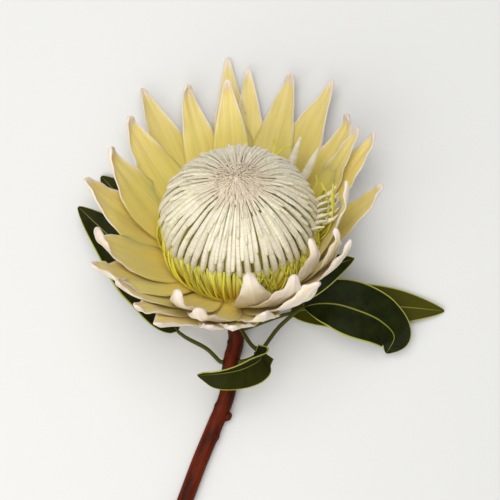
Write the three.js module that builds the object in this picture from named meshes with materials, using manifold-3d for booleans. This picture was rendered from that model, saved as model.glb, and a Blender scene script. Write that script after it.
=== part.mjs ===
// A cut king protea flower lying on a level surface: one large head that leans on its back bracts,
// on a short leafy stem. Millimetres, +Z up, origin on the flat under the stem where it rests.
import * as THREE from "three";
import { mergeVertices } from "three/addons/utils/BufferGeometryUtils.js";
import Module from "manifold-3d";

// ---- driving dimensions ----
const SEED = 7;
const GAP = 0.3; // between pieces that meet

// The head stands on its own axis, local +Z, with turn 0 at its back, and is then tipped over.
const HEAD_CENTRE = [6.5, 99.7, 61.3]; // middle of the floret dome's rim, above the surface
const HEAD_TILT = 45; // degrees from upright

const FOOT_RADIUS = 38; // where the innermost bracts leave the receptacle
const FOOT_DROP = 39; // below the dome's rim
const BASE_RADIUS = 17; // the receptacle's underside, on the cushion that carries the basal scales
const BASE_DROP = 61;
const NECK_RADIUS = 7; // the top of the stem, under the cushion
const NECK_DROP = 68;
const STEM_RADIUS = 5.1;

const BRACT_THICK = 1.7; // along the middle
const BRACT_EDGE = 0.8; // at the margins
const LEAF_THICK = 1.1;
const PETIOLE_RADIUS = 1.3;

// The long bracts, by the turn of their tips: 0 points to the back, onto the surface, and 90 to the
// right. reach and height place the tip on the head's axis before it curls, width is in mm, lean is
// that of the foot from the axis, hook is how far the tip curls in, sway is the turn gained from
// foot to tip, all in degrees; row 0 is innermost.
const BRACTS = [
  { turn: 356, reach: 113, height: 26, width: 28, lean: 42, hook: 10, sway: 0, row: 1 },
  { turn: 355, reach: 88, height: 30, width: 25, lean: 34, hook: 40, sway: 0, row: 0 },
  { turn: 3, reach: 104, height: 25, width: 25, lean: 44, hook: 15, sway: -3, row: 2 },
  { turn: 19, reach: 106, height: 25, width: 27, lean: 42, hook: 60, sway: 2, row: 0 },
  { turn: 33, reach: 109, height: 25, width: 30, lean: 44, hook: 10, sway: 2, row: 1 },
  { turn: 50, reach: 93, height: 25, width: 26, lean: 42, hook: 70, sway: -4, row: 0 },
  { turn: 58, reach: 87, height: 25, width: 22, lean: 44, hook: 20, sway: 0, row: 2 },
  { turn: 62, reach: 97, height: 20, width: 27, lean: 48, hook: 40, sway: 3, row: 1 },
  { turn: 87, reach: 86, height: 15, width: 28, lean: 50, hook: 10, sway: 0, row: 1 },
  { turn: 103, reach: 65, height: 35, width: 24, lean: 40, hook: 20, sway: 0, row: 0 },
  { turn: 125, reach: 71, height: 21, width: 20, lean: 52, hook: 50, sway: 0, row: 0 },
  { turn: 127, reach: 80, height: 20, width: 30, lean: 58, hook: 15, sway: 2, row: 1 },
  { turn: 141, reach: 68, height: 24, width: 18, lean: 48, hook: 50, sway: 6, row: 0 },
  { turn: 148, reach: 85, height: 11, width: 34, lean: 66, hook: 10, sway: -14, row: 2 },
  { turn: 156, reach: 80, height: 15, width: 28, lean: 62, hook: 40, sway: -8, row: 1 },
  { turn: 170, reach: 87, height: 1, width: 28, lean: 72, hook: 10, sway: 0, row: 2 },
  { turn: 175, reach: 68, height: 11, width: 26, lean: 66, hook: 90, sway: 8, row: 0 },
  { turn: 182, reach: 92, height: -5, width: 30, lean: 72, hook: 20, sway: 0, row: 2 },
  { turn: 190, reach: 93, height: -5, width: 28, lean: 72, hook: 20, sway: 0, row: 2 },
  { turn: 195, reach: 89, height: 0, width: 32, lean: 72, hook: 50, sway: 2, row: 1 },
  { turn: 206, reach: 103, height: -1, width: 32, lean: 70, hook: 10, sway: -2, row: 2 },
  { turn: 206, reach: 84, height: 3, width: 26, lean: 72, hook: 90, sway: 0, row: 0 },
  { turn: 216, reach: 99, height: 0, width: 30, lean: 70, hook: 15, sway: 0, row: 2 },
  { turn: 227, reach: 97, height: 3, width: 34, lean: 68, hook: 40, sway: 0, row: 1 },
  { turn: 237, reach: 101, height: 6, width: 38, lean: 66, hook: 25, sway: 0, row: 0 },
  { turn: 251, reach: 92, height: 8, width: 40, lean: 64, hook: 80, sway: 0, row: 0 },
  { turn: 279, reach: 95, height: 10, width: 40, lean: 60, hook: 15, sway: 0, row: 1 },
  { turn: 292, reach: 88, height: 20, width: 36, lean: 54, hook: 50, sway: 2, row: 0 },
  { turn: 311, reach: 96, height: 20, width: 33, lean: 48, hook: 60, sway: 0, row: 1 },
  { turn: 325, reach: 109, height: 20, width: 32, lean: 44, hook: 10, sway: 2, row: 1 },
  { turn: 339, reach: 100, height: 22, width: 25, lean: 40, hook: 80, sway: 0, row: 0 },
];

// Shorter bracts that close the gaps between the long ones from outside.
const FILLERS = { turns: [74, 112], reach: 66, height: -6, width: 25, lean: 62, row: 2 };
const SHORT_BRACTS = {
  turns: [8, 34, 60, 85, 111, 316, 342], reach: 64, height: -19, width: 22, lean: 68, row: 3,
};

// Small basal scales under the head, and longer ones that reach out under the front bracts.
const SCALES = {
  turns: [3, 33, 63, 93, 123, 153, 183, 213, 243, 273, 303, 333],
  radius: 7, drop: 64.2, length: 18, width: 8, lean: [98, 62],
};
const SKIRT = {
  turns: [96, 106, 117, 126, 137, 146, 155, 165, 174, 186],
  radius: 14, drop: 64.5, length: 46, width: 5, lean: [74, 50],
};

// The floret dome's outline from under its rim to its middle: radius and height.
const DOME_LINE = [
  [46.5, -14], [47.8, -7], [46, 2], [38.5, 15], [27, 26], [15, 31.5], [5, 33.3], [0, 33.5],
];
// Rings of blunt limbs on it: how many, how far along the outline their ends lie and where they
// run in under the next ring, their width, all in mm.
const LIMB_RINGS = [
  { count: 40, start: 5, dive: 45, width: 4.8 },
  { count: 28, start: 20, dive: 58, width: 4.6 },
  { count: 18, start: 36, dive: 66, width: 4.4 },
  { count: 9, start: 52, dive: 72, width: 4 },
];

// Florets on the right that have opened: each limb has curled out from under the dome's rim, in an
// inner and an outer column. Two more stand at the back like spears.
const OPEN_LIMBS = [
  { turns: [80, 90, 100], width: 3, line: [[43, -5], [47, -1], [50, 1], [53.5, 2.5]] },
  { turns: [85, 95], width: 3, line: [[43, -6], [50, -4], [55, 1], [58, 6]] },
  { turns: [38, 52], width: 6, line: [[43, -6], [53, 1], [57, 8], [61, 15]] },
];

// The florets' lower parts below the rim, and the styles of those that have opened.
const TUBES = { count: 32, width: 2.8, line: [[36.5, -36.5], [42.3, -28], [44, -18], [43, -13]] };
const STYLES = {
  turns: [56, 62, 68, 74, 108, 113], width: 1.8, line: [[38, -24], [47.5, -17], [51, -8], [53, 3]],
};

// The stem's middle line, from the head down and along the surface.
const STEM_BEND = 10; // how far the stem runs straight on from the head before it bends
const STEM_LINE = [
  [3.5, 31, 6.4], [4.2, 18, 4.7], [0.4, 2, 4.7], [-1.7, -17, 4.7],
  [-10, -38, 4.7], [-19, -60, 4.7], [-28, -84, 4.7], [-47, -133, 4.7],
];
const SWELL = 0.12; // share of the stem over which it narrows from the neck
const BUD = { along: 0.63, size: 3.4 }; // a small bud on the right of the stem

// Leaves: how far along the stem's line each one grows, the line of its petiole and midrib from
// there outwards, where the blade starts on it, the blade's width, the way its upper face looks,
// how much and how often its margin waves, and how far it is folded up along its midrib.
const LEAVES = {
  leaf_front: {
    node: 0.25,
    line: [[8, 24, 16], [13, 17, 28], [19, 10, 37], [9, 4, 44], [-5, 1, 47], [-19, -0.5, 45]],
    bladeStart: 0.51, width: 27, face: [0, -0.62, 0.79], wave: 1.5, waves: 1.5, fold: 36,
  },
  leaf_right_large: {
    node: 0.42,
    line: [
      [17, 8, 9], [32, 27, 12], [48, 39, 13], [64, 41, 17], [80, 37, 19], [95, 30, 16], [104, 20, 10],
      [100, 9.5, 6],
    ],
    bladeStart: 0.44, width: 36, face: [0.1, 0.25, 1], wave: 2, waves: 1.5, fold: 8,
  },
  leaf_right_olive: {
    node: 0.28, line: [[36, 34, 5], [66, 39, 5], [104, 39, 4], [137, 36, 2]],
    bladeStart: 0.42, width: 28, face: [0, 0.1, 1], wave: 1.5, waves: 1, fold: 6,
  },
  leaf_right_small: {
    node: 0.18, line: [[26, 41, 12], [44, 54, 17], [61, 64, 26], [77, 70, 38]],
    bladeStart: 0.4, width: 24, face: [-0.5, -0.3, 1], wave: 1.5, waves: 1, fold: 8,
  },
  leaf_left_lower: {
    node: 0.44, line: [[-14, 12, 9], [-33, 24, 13], [-50, 54, 16], [-68, 76, 18], [-95, 102, 16]],
    bladeStart: 0.5, width: 38, face: [0.2, 0, 1], wave: 2, waves: 1.5, fold: 8,
  },
  leaf_left_upper: {
    node: 0.23, line: [[-20, 48, 3.5], [-40, 74, 3], [-62, 100, 3], [-82, 122, 2]],
    bladeStart: 0.34, width: 40, face: [0.1, 0.1, 1], wave: 2, waves: 1, fold: 6,
  },
};

// ---- tools ----
const wasm = await Module();
wasm.setup();
const { Vector2, Vector3 } = THREE;
const radians = THREE.MathUtils.degToRad;
const mix = THREE.MathUtils.lerp;

// A repeatable run of numbers from 0 to 1.
function seededDraw(seed) {
  let state = seed;
  return () => {
    state = (state * 1664525 + 1013904223) % 4294967296;
    return state / 4294967296;
  };
}
const draw = seededDraw(SEED);
const spread = (size) => (draw() * 2 - 1) * size;

// The ways out of and round the head's axis at a turn, in the head's own frame.
const outward = (turn) => new Vector3(Math.sin(turn), Math.cos(turn), 0);
const around = (turn) => new Vector3(Math.cos(turn), -Math.sin(turn), 0);
const AXIS = new Vector3(0, 0, 1);

function solidOf(geometry) {
  const bare = geometry.clone();
  bare.deleteAttribute("normal");
  bare.deleteAttribute("uv");
  const merged = mergeVertices(bare, 1e-4);
  const mesh = new wasm.Mesh({
    numProp: 3,
    vertProperties: new Float32Array(merged.attributes.position.array),
    triVerts: new Uint32Array(merged.index.array),
  });
  return new wasm.Manifold(mesh);
}

function geometryOf(solid) {
  const { vertProperties, triVerts } = solid.getMesh();
  const geometry = new THREE.BufferGeometry();
  geometry.setAttribute("position", new THREE.BufferAttribute(vertProperties, 3));
  geometry.setIndex(new THREE.BufferAttribute(triVerts, 1));
  geometry.computeVertexNormals();
  return geometry;
}

// All the solids joined, as one body: a loose scrap or a sealed hollow is left out.
function fused(solids) {
  let joined = solids[0];
  for (const solid of solids.slice(1)) joined = joined.add(solid);
  const bodies = joined.decompose().filter((body) => body.volume() > 0);
  return bodies.reduce((a, b) => (a.volume() > b.volume() ? a : b));
}

// A closed strip between rows of points: every row runs across it, the ends are capped and
// both faces are split along the same diagonals.
function blade(rows) {
  const across = rows[0].length;
  const points = [];
  const faces = [];
  for (const row of rows) for (const { top, under } of row) points.push(top, under);
  const top = (i, j) => 2 * (i * across + j);
  const under = (i, j) => top(i, j) + 1;
  const quad = (a, b, c, d) => faces.push(a, b, c, a, c, d);
  const last = rows.length - 1;
  for (let i = 0; i < last; i++) {
    for (let j = 0; j < across - 1; j++) {
      quad(top(i, j), top(i, j + 1), top(i + 1, j + 1), top(i + 1, j));
      faces.push(under(i, j), under(i + 1, j + 1), under(i, j + 1));
      faces.push(under(i, j), under(i + 1, j), under(i + 1, j + 1));
    }
    quad(top(i, 0), top(i + 1, 0), under(i + 1, 0), under(i, 0));
    quad(top(i, across - 1), under(i, across - 1), under(i + 1, across - 1), top(i + 1, across - 1));
  }
  for (let j = 0; j < across - 1; j++) {
    quad(top(0, j), under(0, j), under(0, j + 1), top(0, j + 1));
    quad(top(last, j), top(last, j + 1), under(last, j + 1), under(last, j));
  }
  return closedSolid(points, faces);
}

// A solid from a list of points and triangles, turned inside out if its faces look inwards.
function closedSolid(points, faces) {
  const geometry = new THREE.BufferGeometry().setFromPoints(points);
  geometry.setIndex(faces);
  const solid = solidOf(geometry);
  if (solid.volume() > 0) return solid;
  const turned = [];
  for (let i = 0; i < faces.length; i += 3) turned.push(faces[i], faces[i + 2], faces[i + 1]);
  geometry.setIndex(turned);
  return solidOf(geometry);
}

// A rod through rings of points, closed at both ends.
function throughRings(rings) {
  const sides = rings[0].length;
  const faces = [];
  const at = (i, j) => i * sides + (j % sides);
  for (let i = 0; i < rings.length - 1; i++) {
    for (let j = 0; j < sides; j++) {
      faces.push(at(i, j), at(i, j + 1), at(i + 1, j + 1), at(i, j), at(i + 1, j + 1), at(i + 1, j));
    }
  }
  const end = rings.length - 1;
  for (let j = 1; j < sides - 1; j++) {
    faces.push(at(0, 0), at(0, j + 1), at(0, j));
    faces.push(at(end, 0), at(end, j), at(end, j + 1));
  }
  return closedSolid(rings.flat(), faces);
}

// A round rod along a curve, its radius given by how far along it is, its first corner up.
function rod(curve, radiusAt, steps, sides) {
  const rings = [];
  for (let i = 0; i <= steps; i++) {
    const along = i / steps;
    const middle = curve.getPoint(along);
    const ahead = curve.getTangent(along);
    const side = new Vector3().crossVectors(ahead, AXIS).normalize();
    const up = new Vector3().crossVectors(side, ahead).normalize();
    const radius = radiusAt(along);
    const ring = [];
    for (let j = 0; j < sides; j++) {
      const angle = ((j + 0.5) / sides) * 2 * Math.PI;
      ring.push(
        middle.clone()
          .addScaledVector(side, radius * Math.cos(angle))
          .addScaledVector(up, radius * Math.sin(angle)),
      );
    }
    rings.push(ring);
  }
  return throughRings(rings);
}

const curveThrough = (points) =>
  new THREE.CatmullRomCurve3(points.map((p) => new Vector3(...p)), false, "centripetal");

// A solid turned about the head's axis from radius and height pairs.
function turned(profile, sides) {
  const lathe = new THREE.LatheGeometry(profile.map(([r, z]) => new THREE.Vector2(r, z)), sides);
  lathe.rotateX(Math.PI / 2);
  lathe.deleteAttribute("normal");
  lathe.deleteAttribute("uv");
  const merged = mergeVertices(lathe, 1e-4);
  const points = [];
  const { position } = merged.attributes;
  for (let i = 0; i < position.count; i++) points.push(new Vector3().fromBufferAttribute(position, i));
  const faces = [];
  const index = merged.index.array;
  for (let i = 0; i < index.length; i += 3) {
    const [a, b, c] = [index[i], index[i + 1], index[i + 2]];
    if (a !== b && b !== c && a !== c) faces.push(a, b, c);
  }
  return closedSolid(points, faces);
}

// ---- bracts ----
const BRACT_STEPS = [10, 20, 30, 40, 46, 50]; // where a long bract has its rows, out of LINE_STEPS
const SHORT_STEPS = [16, 32, 44, 50];
const LINE_STEPS = 50;
const HOOK_START = 0.84; // share of the length where the tip starts to curl
const BELLY = 0.5; // how far along its span a bract keeps the lean of its foot
const ROW_DROP = 2.4; // each row outwards leaves the receptacle this much lower
const ROW_INSET = 1;
const ROOT_DEPTH = 6;
const BRACT_CUP = 0.12; // how far the margins stand in, as a share of half the width

// Width across a bract, as a share of its widest, at a share of its length.
function bractWidth(share) {
  if (share < 0.4) return 0.62 + 0.38 * Math.sin((share / 0.4) * (Math.PI / 2));
  return 1 - 0.86 * ((share - 0.4) / 0.6) ** 1.35;
}

// The middle line of a bract as radius and height, in LINE_STEPS equal steps from its foot.
function bractLine({ reach, height, lean, hook, row }) {
  const foot = new Vector2(FOOT_RADIUS - ROW_INSET * row, -FOOT_DROP - ROW_DROP * row);
  const tip = new Vector2(reach, height);
  const rise = new Vector2(Math.sin(radians(lean)), Math.cos(radians(lean)));
  const knee = foot.clone().addScaledVector(rise, BELLY * foot.distanceTo(tip));
  const bend = new THREE.QuadraticBezierCurve(foot, knee, tip);
  const step = bend.getLength() / LINE_STEPS;
  const line = [foot];
  for (let i = 0; i < LINE_STEPS; i++) {
    const share = (i + 0.5) / LINE_STEPS;
    const curl = radians(hook) * Math.max(0, (share - HOOK_START) / (1 - HOOK_START));
    const ahead = bend.getTangentAt(share).rotateAround(new Vector2(), curl);
    line.push(line[i].clone().addScaledVector(ahead, step));
  }
  return { line, root: foot.clone().addScaledVector(rise, -ROOT_DEPTH) };
}

function bract({ turn, sway = 0, width, hook = 0, ...place }, steps, sides) {
  const { line, root } = bractLine({ ...place, hook });
  const points = [root, ...steps.map((i) => line[i])].map((point, i) => {
    const share = i === 0 ? 0 : steps[i - 1] / LINE_STEPS;
    const angle = radians(turn - sway * (1 - share));
    return { share, angle, middle: outward(angle).multiplyScalar(point.x).addScaledVector(AXIS, point.y) };
  });
  const rows = points.map(({ share, angle, middle }, i) => {
    const before = points[Math.max(i - 1, 0)].middle;
    const after = points[Math.min(i + 1, points.length - 1)].middle;
    const forward = after.clone().sub(before).normalize();
    const round = around(angle);
    const across = round.addScaledVector(forward, -round.dot(forward)).normalize();
    const inward = new Vector3().crossVectors(across, forward);
    const half = (width / 2) * bractWidth(share);
    return sides.map((side) => {
      const thick = mix(BRACT_THICK, BRACT_EDGE, side * side);
      const under = middle.clone().addScaledVector(across, side * half)
        .addScaledVector(inward, BRACT_CUP * half * side * side);
      return { top: under.clone().addScaledVector(inward, thick), under };
    });
  });
  return blade(rows);
}

function involucralBracts() {
  const receptacle = turned(
    [[0, -BASE_DROP], [BASE_RADIUS, -BASE_DROP], [27, -57.5], [34, -52], [37.5, -46], [FOOT_RADIUS, -41],
      [35, -38.5], [0, -37.5]],
    20,
  );
  const parts = [receptacle, ...BRACTS.map((shape) => bract(shape, BRACT_STEPS, [-1, 0, 1]))];
  for (const { turns, ...shape } of [FILLERS, SHORT_BRACTS]) {
    for (const turn of turns) parts.push(bract({ ...shape, turn }, SHORT_STEPS, [-1, 0, 1]));
  }
  return fused(parts);
}

// A small scale that grows out sideways from the cushion on top of the stem and turns up.
function scale({ radius, drop, length, width, lean }, turn) {
  const out = outward(radians(turn));
  const round = around(radians(turn));
  const middle = out.clone().multiplyScalar(radius).addScaledVector(AXIS, -drop);
  const rows = [];
  let before = 0;
  for (const share of [0, 0.5, 1]) {
    const rise = radians(mix(lean[0], lean[1], (share + before) / 2));
    const forward = out.clone().multiplyScalar(Math.sin(rise)).addScaledVector(AXIS, Math.cos(rise));
    middle.addScaledVector(forward, (share - before) * length);
    before = share;
    const inward = new Vector3().crossVectors(round, forward);
    const half = (width / 2) * (1 - 0.75 * share ** 2.5);
    rows.push(
      [-1, 1].map((side) => {
        const under = middle.clone().addScaledVector(round, side * half);
        return { top: under.clone().addScaledVector(inward, BRACT_EDGE), under };
      }),
    );
  }
  return blade(rows);
}

function basalBracts() {
  const cushion = turned(
    [[0, -NECK_DROP], [NECK_RADIUS + 1, -NECK_DROP], [BASE_RADIUS - 1, -BASE_DROP - 2.5],
      [BASE_RADIUS, -BASE_DROP - GAP], [0, -BASE_DROP - GAP]],
    14,
  );
  const parts = [cushion];
  for (const kind of [SCALES, SKIRT]) for (const turn of kind.turns) parts.push(scale(kind, turn));
  return fused(parts);
}

// ---- the floret dome ----
const CORE_INSET = 2.6; // the dome's smooth core lies this far under the limbs' backs
const CORE_FOOT = -9.2; // height of the core's flat underside
const domeCurve = curveThrough(DOME_LINE.map(([radius, height]) => [0, radius, height]));
const DOME_SPAN = domeCurve.getLength();

// The point of the dome at a turn and a way along its outline from under its rim, lifted off it.
function domePoint(turn, along, lift) {
  const { y: radius, z: height } = domeCurve.getPointAt(along / DOME_SPAN);
  const { y: wayOut, z: wayUp } = domeCurve.getTangentAt(along / DOME_SPAN);
  return outward(turn).multiplyScalar(radius + wayUp * lift).addScaledVector(AXIS, height - wayOut * lift);
}

// One limb: blunt where it ends, tapering as it runs up the dome and in under the others.
function limb(turn, start, dive, width) {
  const stations = [[0, 0.7, -0.5], [0.15, 1, 0.5], [1, 0.5, -1.2]];
  const rings = stations.map(([share, wide, lift]) => {
    const along = mix(start, dive, share);
    const side = around(turn).multiplyScalar((width / 2) * wide);
    const foot = domePoint(turn, along, -CORE_INSET - 0.8);
    const back = domePoint(turn, along, lift);
    return [foot.clone().sub(side), back, foot.clone().add(side)];
  });
  return throughRings(rings);
}

// A three-sided finger along points given as radius and height, at one turn.
function finger(turn, line, width, thick) {
  const rings = line.map(([radius, height], i) => {
    const share = i / (line.length - 1);
    const side = around(turn).multiplyScalar((width / 2) * (1 - 0.6 * share));
    const foot = outward(turn).multiplyScalar(radius).addScaledVector(AXIS, height);
    return [foot.clone().sub(side), foot.clone().addScaledVector(AXIS, thick), foot.clone().add(side)];
  });
  return throughRings(rings);
}

function floretLimbs() {
  const profile = [[0, CORE_FOOT]];
  for (const along of [5, 14, 26, 40, 54, 66]) {
    const point = domePoint(0, along, -CORE_INSET);
    profile.push([point.y, Math.max(point.z, CORE_FOOT)]);
  }
  profile.push([0, domePoint(0, DOME_SPAN, -CORE_INSET).z]);
  const parts = [turned(profile, 18)];
  LIMB_RINGS.forEach(({ count, start, dive, width }, ring) => {
    for (let i = 0; i < count; i++) {
      const turn = ((i + 0.5 * (ring % 2)) / count) * 2 * Math.PI + spread(0.014);
      parts.push(limb(turn, start + spread(2), dive, width));
    }
  });
  for (const { turns, line, width } of OPEN_LIMBS) {
    for (const turn of turns) parts.push(finger(radians(turn), line, width, 1.8));
  }
  return fused(parts);
}

// ---- the green-yellow lower parts of the florets ----
function floretTubes() {
  const core = turned(
    [[0, -37.5 + GAP], [33, -38 + GAP], [36, -33], [38.5, -26], [40.5, -16], [40, CORE_FOOT - GAP],
      [0, CORE_FOOT - GAP]],
    18,
  );
  const parts = [core];
  for (let i = 0; i < TUBES.count; i++) {
    const turn = (i / TUBES.count) * 2 * Math.PI + spread(0.02);
    const side = around(turn).multiplyScalar(TUBES.width / 2);
    const rings = TUBES.line.map(([radius, height]) => {
      const back = outward(turn).multiplyScalar(radius).addScaledVector(AXIS, height);
      const foot = outward(turn).multiplyScalar(radius - 8).addScaledVector(AXIS, height);
      return [foot.clone().sub(side), back, foot.clone().add(side)];
    });
    parts.push(throughRings(rings));
  }
  for (const turn of STYLES.turns) parts.push(finger(radians(turn), STYLES.line, STYLES.width, 1.4));
  return fused(parts);
}

// ---- stem and leaves ----
function onHeadAxis(drop) {
  const place = new Vector3(0, 0, -drop).applyAxisAngle(new Vector3(1, 0, 0), -radians(HEAD_TILT));
  return place.add(new Vector3(...HEAD_CENTRE)).toArray();
}
const STEM_TOP = [NECK_DROP + GAP, NECK_DROP + STEM_BEND].map(onHeadAxis);
const stemCurve = curveThrough([...STEM_TOP, ...STEM_LINE]);

function stem() {
  const widest = NECK_RADIUS - STEM_RADIUS;
  const round = rod(stemCurve, (along) => STEM_RADIUS + widest * Math.max(0, 1 - along / SWELL), 24, 10);
  const bud = new THREE.SphereGeometry(BUD.size, 8, 6);
  const budPlace = stemCurve.getPoint(BUD.along);
  bud.translate(budPlace.x + STEM_RADIUS, budPlace.y, budPlace.z + 1);
  const slab = new THREE.BoxGeometry(400, 400, 20);
  slab.translate(0, 0, -10);
  return fused([round, solidOf(bud)]).subtract(solidOf(slab));
}

// Two points just off the stem's skin, where a petiole leaves it squarely, towards a point.
function petioleFoot(node, towards) {
  const middle = stemCurve.getPoint(node);
  const ahead = stemCurve.getTangent(node);
  const out = new Vector3(...towards).sub(middle);
  out.addScaledVector(ahead, -out.dot(ahead)).normalize();
  return [0, PETIOLE_RADIUS].map((further) =>
    middle.clone().addScaledVector(out, STEM_RADIUS + GAP + further).toArray(),
  );
}

function leaf({ node, line, bladeStart, width, face, wave, waves, fold }) {
  const curve = curveThrough([...petioleFoot(node, line[0]), ...line]);
  const upper = new Vector3(...face).normalize();
  const rows = [];
  const steps = 8;
  for (let i = 0; i <= steps; i++) {
    const share = i / steps;
    const middle = curve.getPoint(mix(bladeStart, 1, share));
    const ahead = curve.getTangent(mix(bladeStart, 1, share));
    const across = new Vector3().crossVectors(ahead, upper).normalize();
    const normal = new Vector3().crossVectors(across, ahead).normalize();
    const half = (width / 2) * (0.1 + 0.9 * Math.sin(Math.PI * (0.03 + 0.93 * share ** 0.85)) ** 0.7);
    rows.push(
      [-1, -0.5, 0, 0.5, 1].map((side) => {
        const ripple = wave * side * side * Math.sin(share * waves * 2 * Math.PI + (side > 0 ? 1.2 : 0));
        const under = middle.clone().addScaledVector(across, side * half * Math.cos(radians(fold)))
          .addScaledVector(normal, ripple + Math.sin(radians(fold)) * half * Math.abs(side));
        return { top: under.clone().addScaledVector(normal, LEAF_THICK), under };
      }),
    );
  }
  const petiole = new THREE.CatmullRomCurve3(
    [0, 0.25, 0.5, 0.75, 1, 1.1].map((share) => curve.getPoint(share * bladeStart)),
  );
  return fused([blade(rows), rod(petiole, () => PETIOLE_RADIUS, 7, 5)]);
}

// ---- the flower ----
function piece(name, solid, colour, roughness) {
  const material = new THREE.MeshStandardMaterial({ color: colour, roughness, metalness: 0 });
  const mesh = new THREE.Mesh(geometryOf(solid), material);
  mesh.name = name;
  return mesh;
}

const head = new THREE.Group();
head.add(piece("involucral_bracts", involucralBracts(), 0xd8c870, 0.6));
head.add(piece("basal_bracts", basalBracts(), 0xcbb9a0, 0.8));
head.add(piece("floret_limbs", floretLimbs(), 0xe3dcbe, 0.85));
head.add(piece("floret_tubes", floretTubes(), 0xb0ae30, 0.6));
head.rotation.x = -radians(HEAD_TILT);
head.position.set(...HEAD_CENTRE);

const flower = new THREE.Group();
flower.add(head);
flower.add(piece("stem", stem(), 0x7a3c14, 0.6));
for (const [name, shape] of Object.entries(LEAVES)) flower.add(piece(name, leaf(shape), 0x2c360c, 0.45));

export default flower;
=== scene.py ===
"""Looks of a cut king protea flower, laid out as a Blender add-on and run as a script.

Metres, +Z up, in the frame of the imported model. The head is shaped in a frame of its own, with its
axis on +Z and turn 0 at the back, where it leans on the surface, then tipped into place.
"""

import bpy
import numpy as np
from mathutils import Matrix, Vector


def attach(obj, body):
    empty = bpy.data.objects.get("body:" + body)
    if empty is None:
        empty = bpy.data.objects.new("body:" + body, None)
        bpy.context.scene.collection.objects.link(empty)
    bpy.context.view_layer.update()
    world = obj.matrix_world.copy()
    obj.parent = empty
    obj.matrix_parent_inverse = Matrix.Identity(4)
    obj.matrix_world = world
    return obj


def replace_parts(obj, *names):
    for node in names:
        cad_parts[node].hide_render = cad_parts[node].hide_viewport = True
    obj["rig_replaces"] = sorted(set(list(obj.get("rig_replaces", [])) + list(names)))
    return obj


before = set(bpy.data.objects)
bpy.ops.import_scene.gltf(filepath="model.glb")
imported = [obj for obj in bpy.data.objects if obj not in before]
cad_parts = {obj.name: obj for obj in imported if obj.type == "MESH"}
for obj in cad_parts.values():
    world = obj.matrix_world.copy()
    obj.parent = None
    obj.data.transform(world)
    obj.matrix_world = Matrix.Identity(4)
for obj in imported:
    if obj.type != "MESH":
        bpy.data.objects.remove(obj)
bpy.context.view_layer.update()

bl_info = {
    "name": "King Protea Flower",
    "version": (1, 0, 0),
    "blender": (4, 5, 0),
    "location": "3D View > Sidebar > Protea",
    "description": "Dresses the solids of a cut king protea flower with bracts, florets, leaves and down",
    "category": "Add Mesh",
}

MM = 0.001
BODY = "root"
FLOOR_CLEAR = 0.2 * MM  # lowest that a bract or a leaf lies above the surface
GOLDEN_ANGLE = 137.508  # degrees from each small thing to the next, where many fill a disc
HAIR_THICK = 0.05 * MM

# ---- the head's own frame ----
HEAD_CENTRE = (0.0065, 0.0997, 0.0613)  # on the head's axis, level with the florets' rim
HEAD_TILT = 45  # degrees from upright
FOOT_RADIUS = 38 * MM  # where the innermost bracts leave the receptacle
FOOT_DROP = 39 * MM
NECK_RADIUS = 7 * MM  # the top of the stem, under the basal scales
NECK_DROP = 68 * MM

# ---- bracts ----
ROW_INSET = 1 * MM  # each row outwards leaves it this much nearer its axis
ROW_DROP = 2.4 * MM  # each row outwards leaves the receptacle this much lower
ROOT_DEPTH = 6 * MM  # how far its root is sunk in the receptacle
BRACT_THICK = 1.5 * MM  # along the middle
HOOK_START = 0.84  # share of the length where the tip starts to curl
BELLY = 0.5  # how far along its span a bract keeps the lean of its foot
# turn of the tip, reach and height of the tip before its hook in mm, width mm, lean of the foot,
# hook, turn gained from foot to tip in degrees, row from inside
BRACTS = (
    (356, 113, 26, 28, 42, 10, 0, 1), (355, 88, 30, 25, 34, 40, 0, 0), (3, 104, 25, 25, 44, 15, -3, 2),
    (19, 106, 25, 27, 42, 60, 2, 0), (33, 109, 25, 30, 44, 10, 2, 1), (50, 93, 25, 26, 42, 70, -4, 0),
    (58, 87, 25, 22, 44, 20, 0, 2), (62, 97, 20, 27, 48, 40, 3, 1), (87, 86, 15, 28, 50, 10, 0, 1),
    (103, 65, 35, 24, 40, 20, 0, 0), (125, 71, 21, 20, 52, 50, 0, 0), (127, 80, 20, 30, 58, 15, 2, 1),
    (141, 68, 24, 18, 48, 50, 6, 0), (148, 85, 11, 34, 66, 10, -14, 2), (156, 80, 15, 28, 62, 40, -8, 1),
    (170, 87, 1, 28, 72, 10, 0, 2), (175, 68, 11, 26, 66, 90, 8, 0), (182, 92, -5, 30, 72, 20, 0, 2),
    (190, 93, -5, 28, 72, 20, 0, 2), (195, 89, 0, 32, 72, 50, 2, 1), (206, 103, -1, 32, 70, 10, -2, 2),
    (206, 84, 3, 26, 72, 90, 0, 0), (216, 99, 0, 30, 70, 15, 0, 2), (227, 97, 3, 34, 68, 40, 0, 1),
    (237, 101, 6, 38, 66, 25, 0, 0), (251, 92, 8, 40, 64, 80, 0, 0), (279, 95, 10, 40, 60, 15, 0, 1),
    (292, 88, 20, 36, 54, 50, 2, 0), (311, 96, 20, 33, 48, 60, 0, 1), (325, 109, 20, 32, 44, 10, 2, 1),
    (339, 100, 22, 25, 40, 80, 0, 0),
)
# shorter ones that close the gaps between the long ones from outside
FILLERS = {"turns": (74, 112), "reach": 66, "height": -6, "width": 25, "lean": 62, "row": 2}
SHORT_BRACTS = {
    "turns": (8, 34, 60, 85, 111, 316, 342), "reach": 64, "height": -19, "width": 22, "lean": 68, "row": 3,
}
# outline of the receptacle from below: radius and height in mm
RECEPTACLE = ((2, -60.9), (16.5, -60.6), (24, -58.5), (30, -55), (34.5, -50), (37.5, -44),
              (38.6, -39.5), (36, -36.5), (20, -35), (2, -34.8))

# ---- basal scales, in mm and degrees ----
# small ones round the cushion, with the leans of their foot and tip from the axis
SCALES = {"count": 34, "first": 3, "radius": 8, "drop": 63.6, "length": 18, "width": 6, "lean": (98, 62)}
SCALES_RISE = 1.4  # the last of them leaves the cushion this much lower than the first
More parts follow.
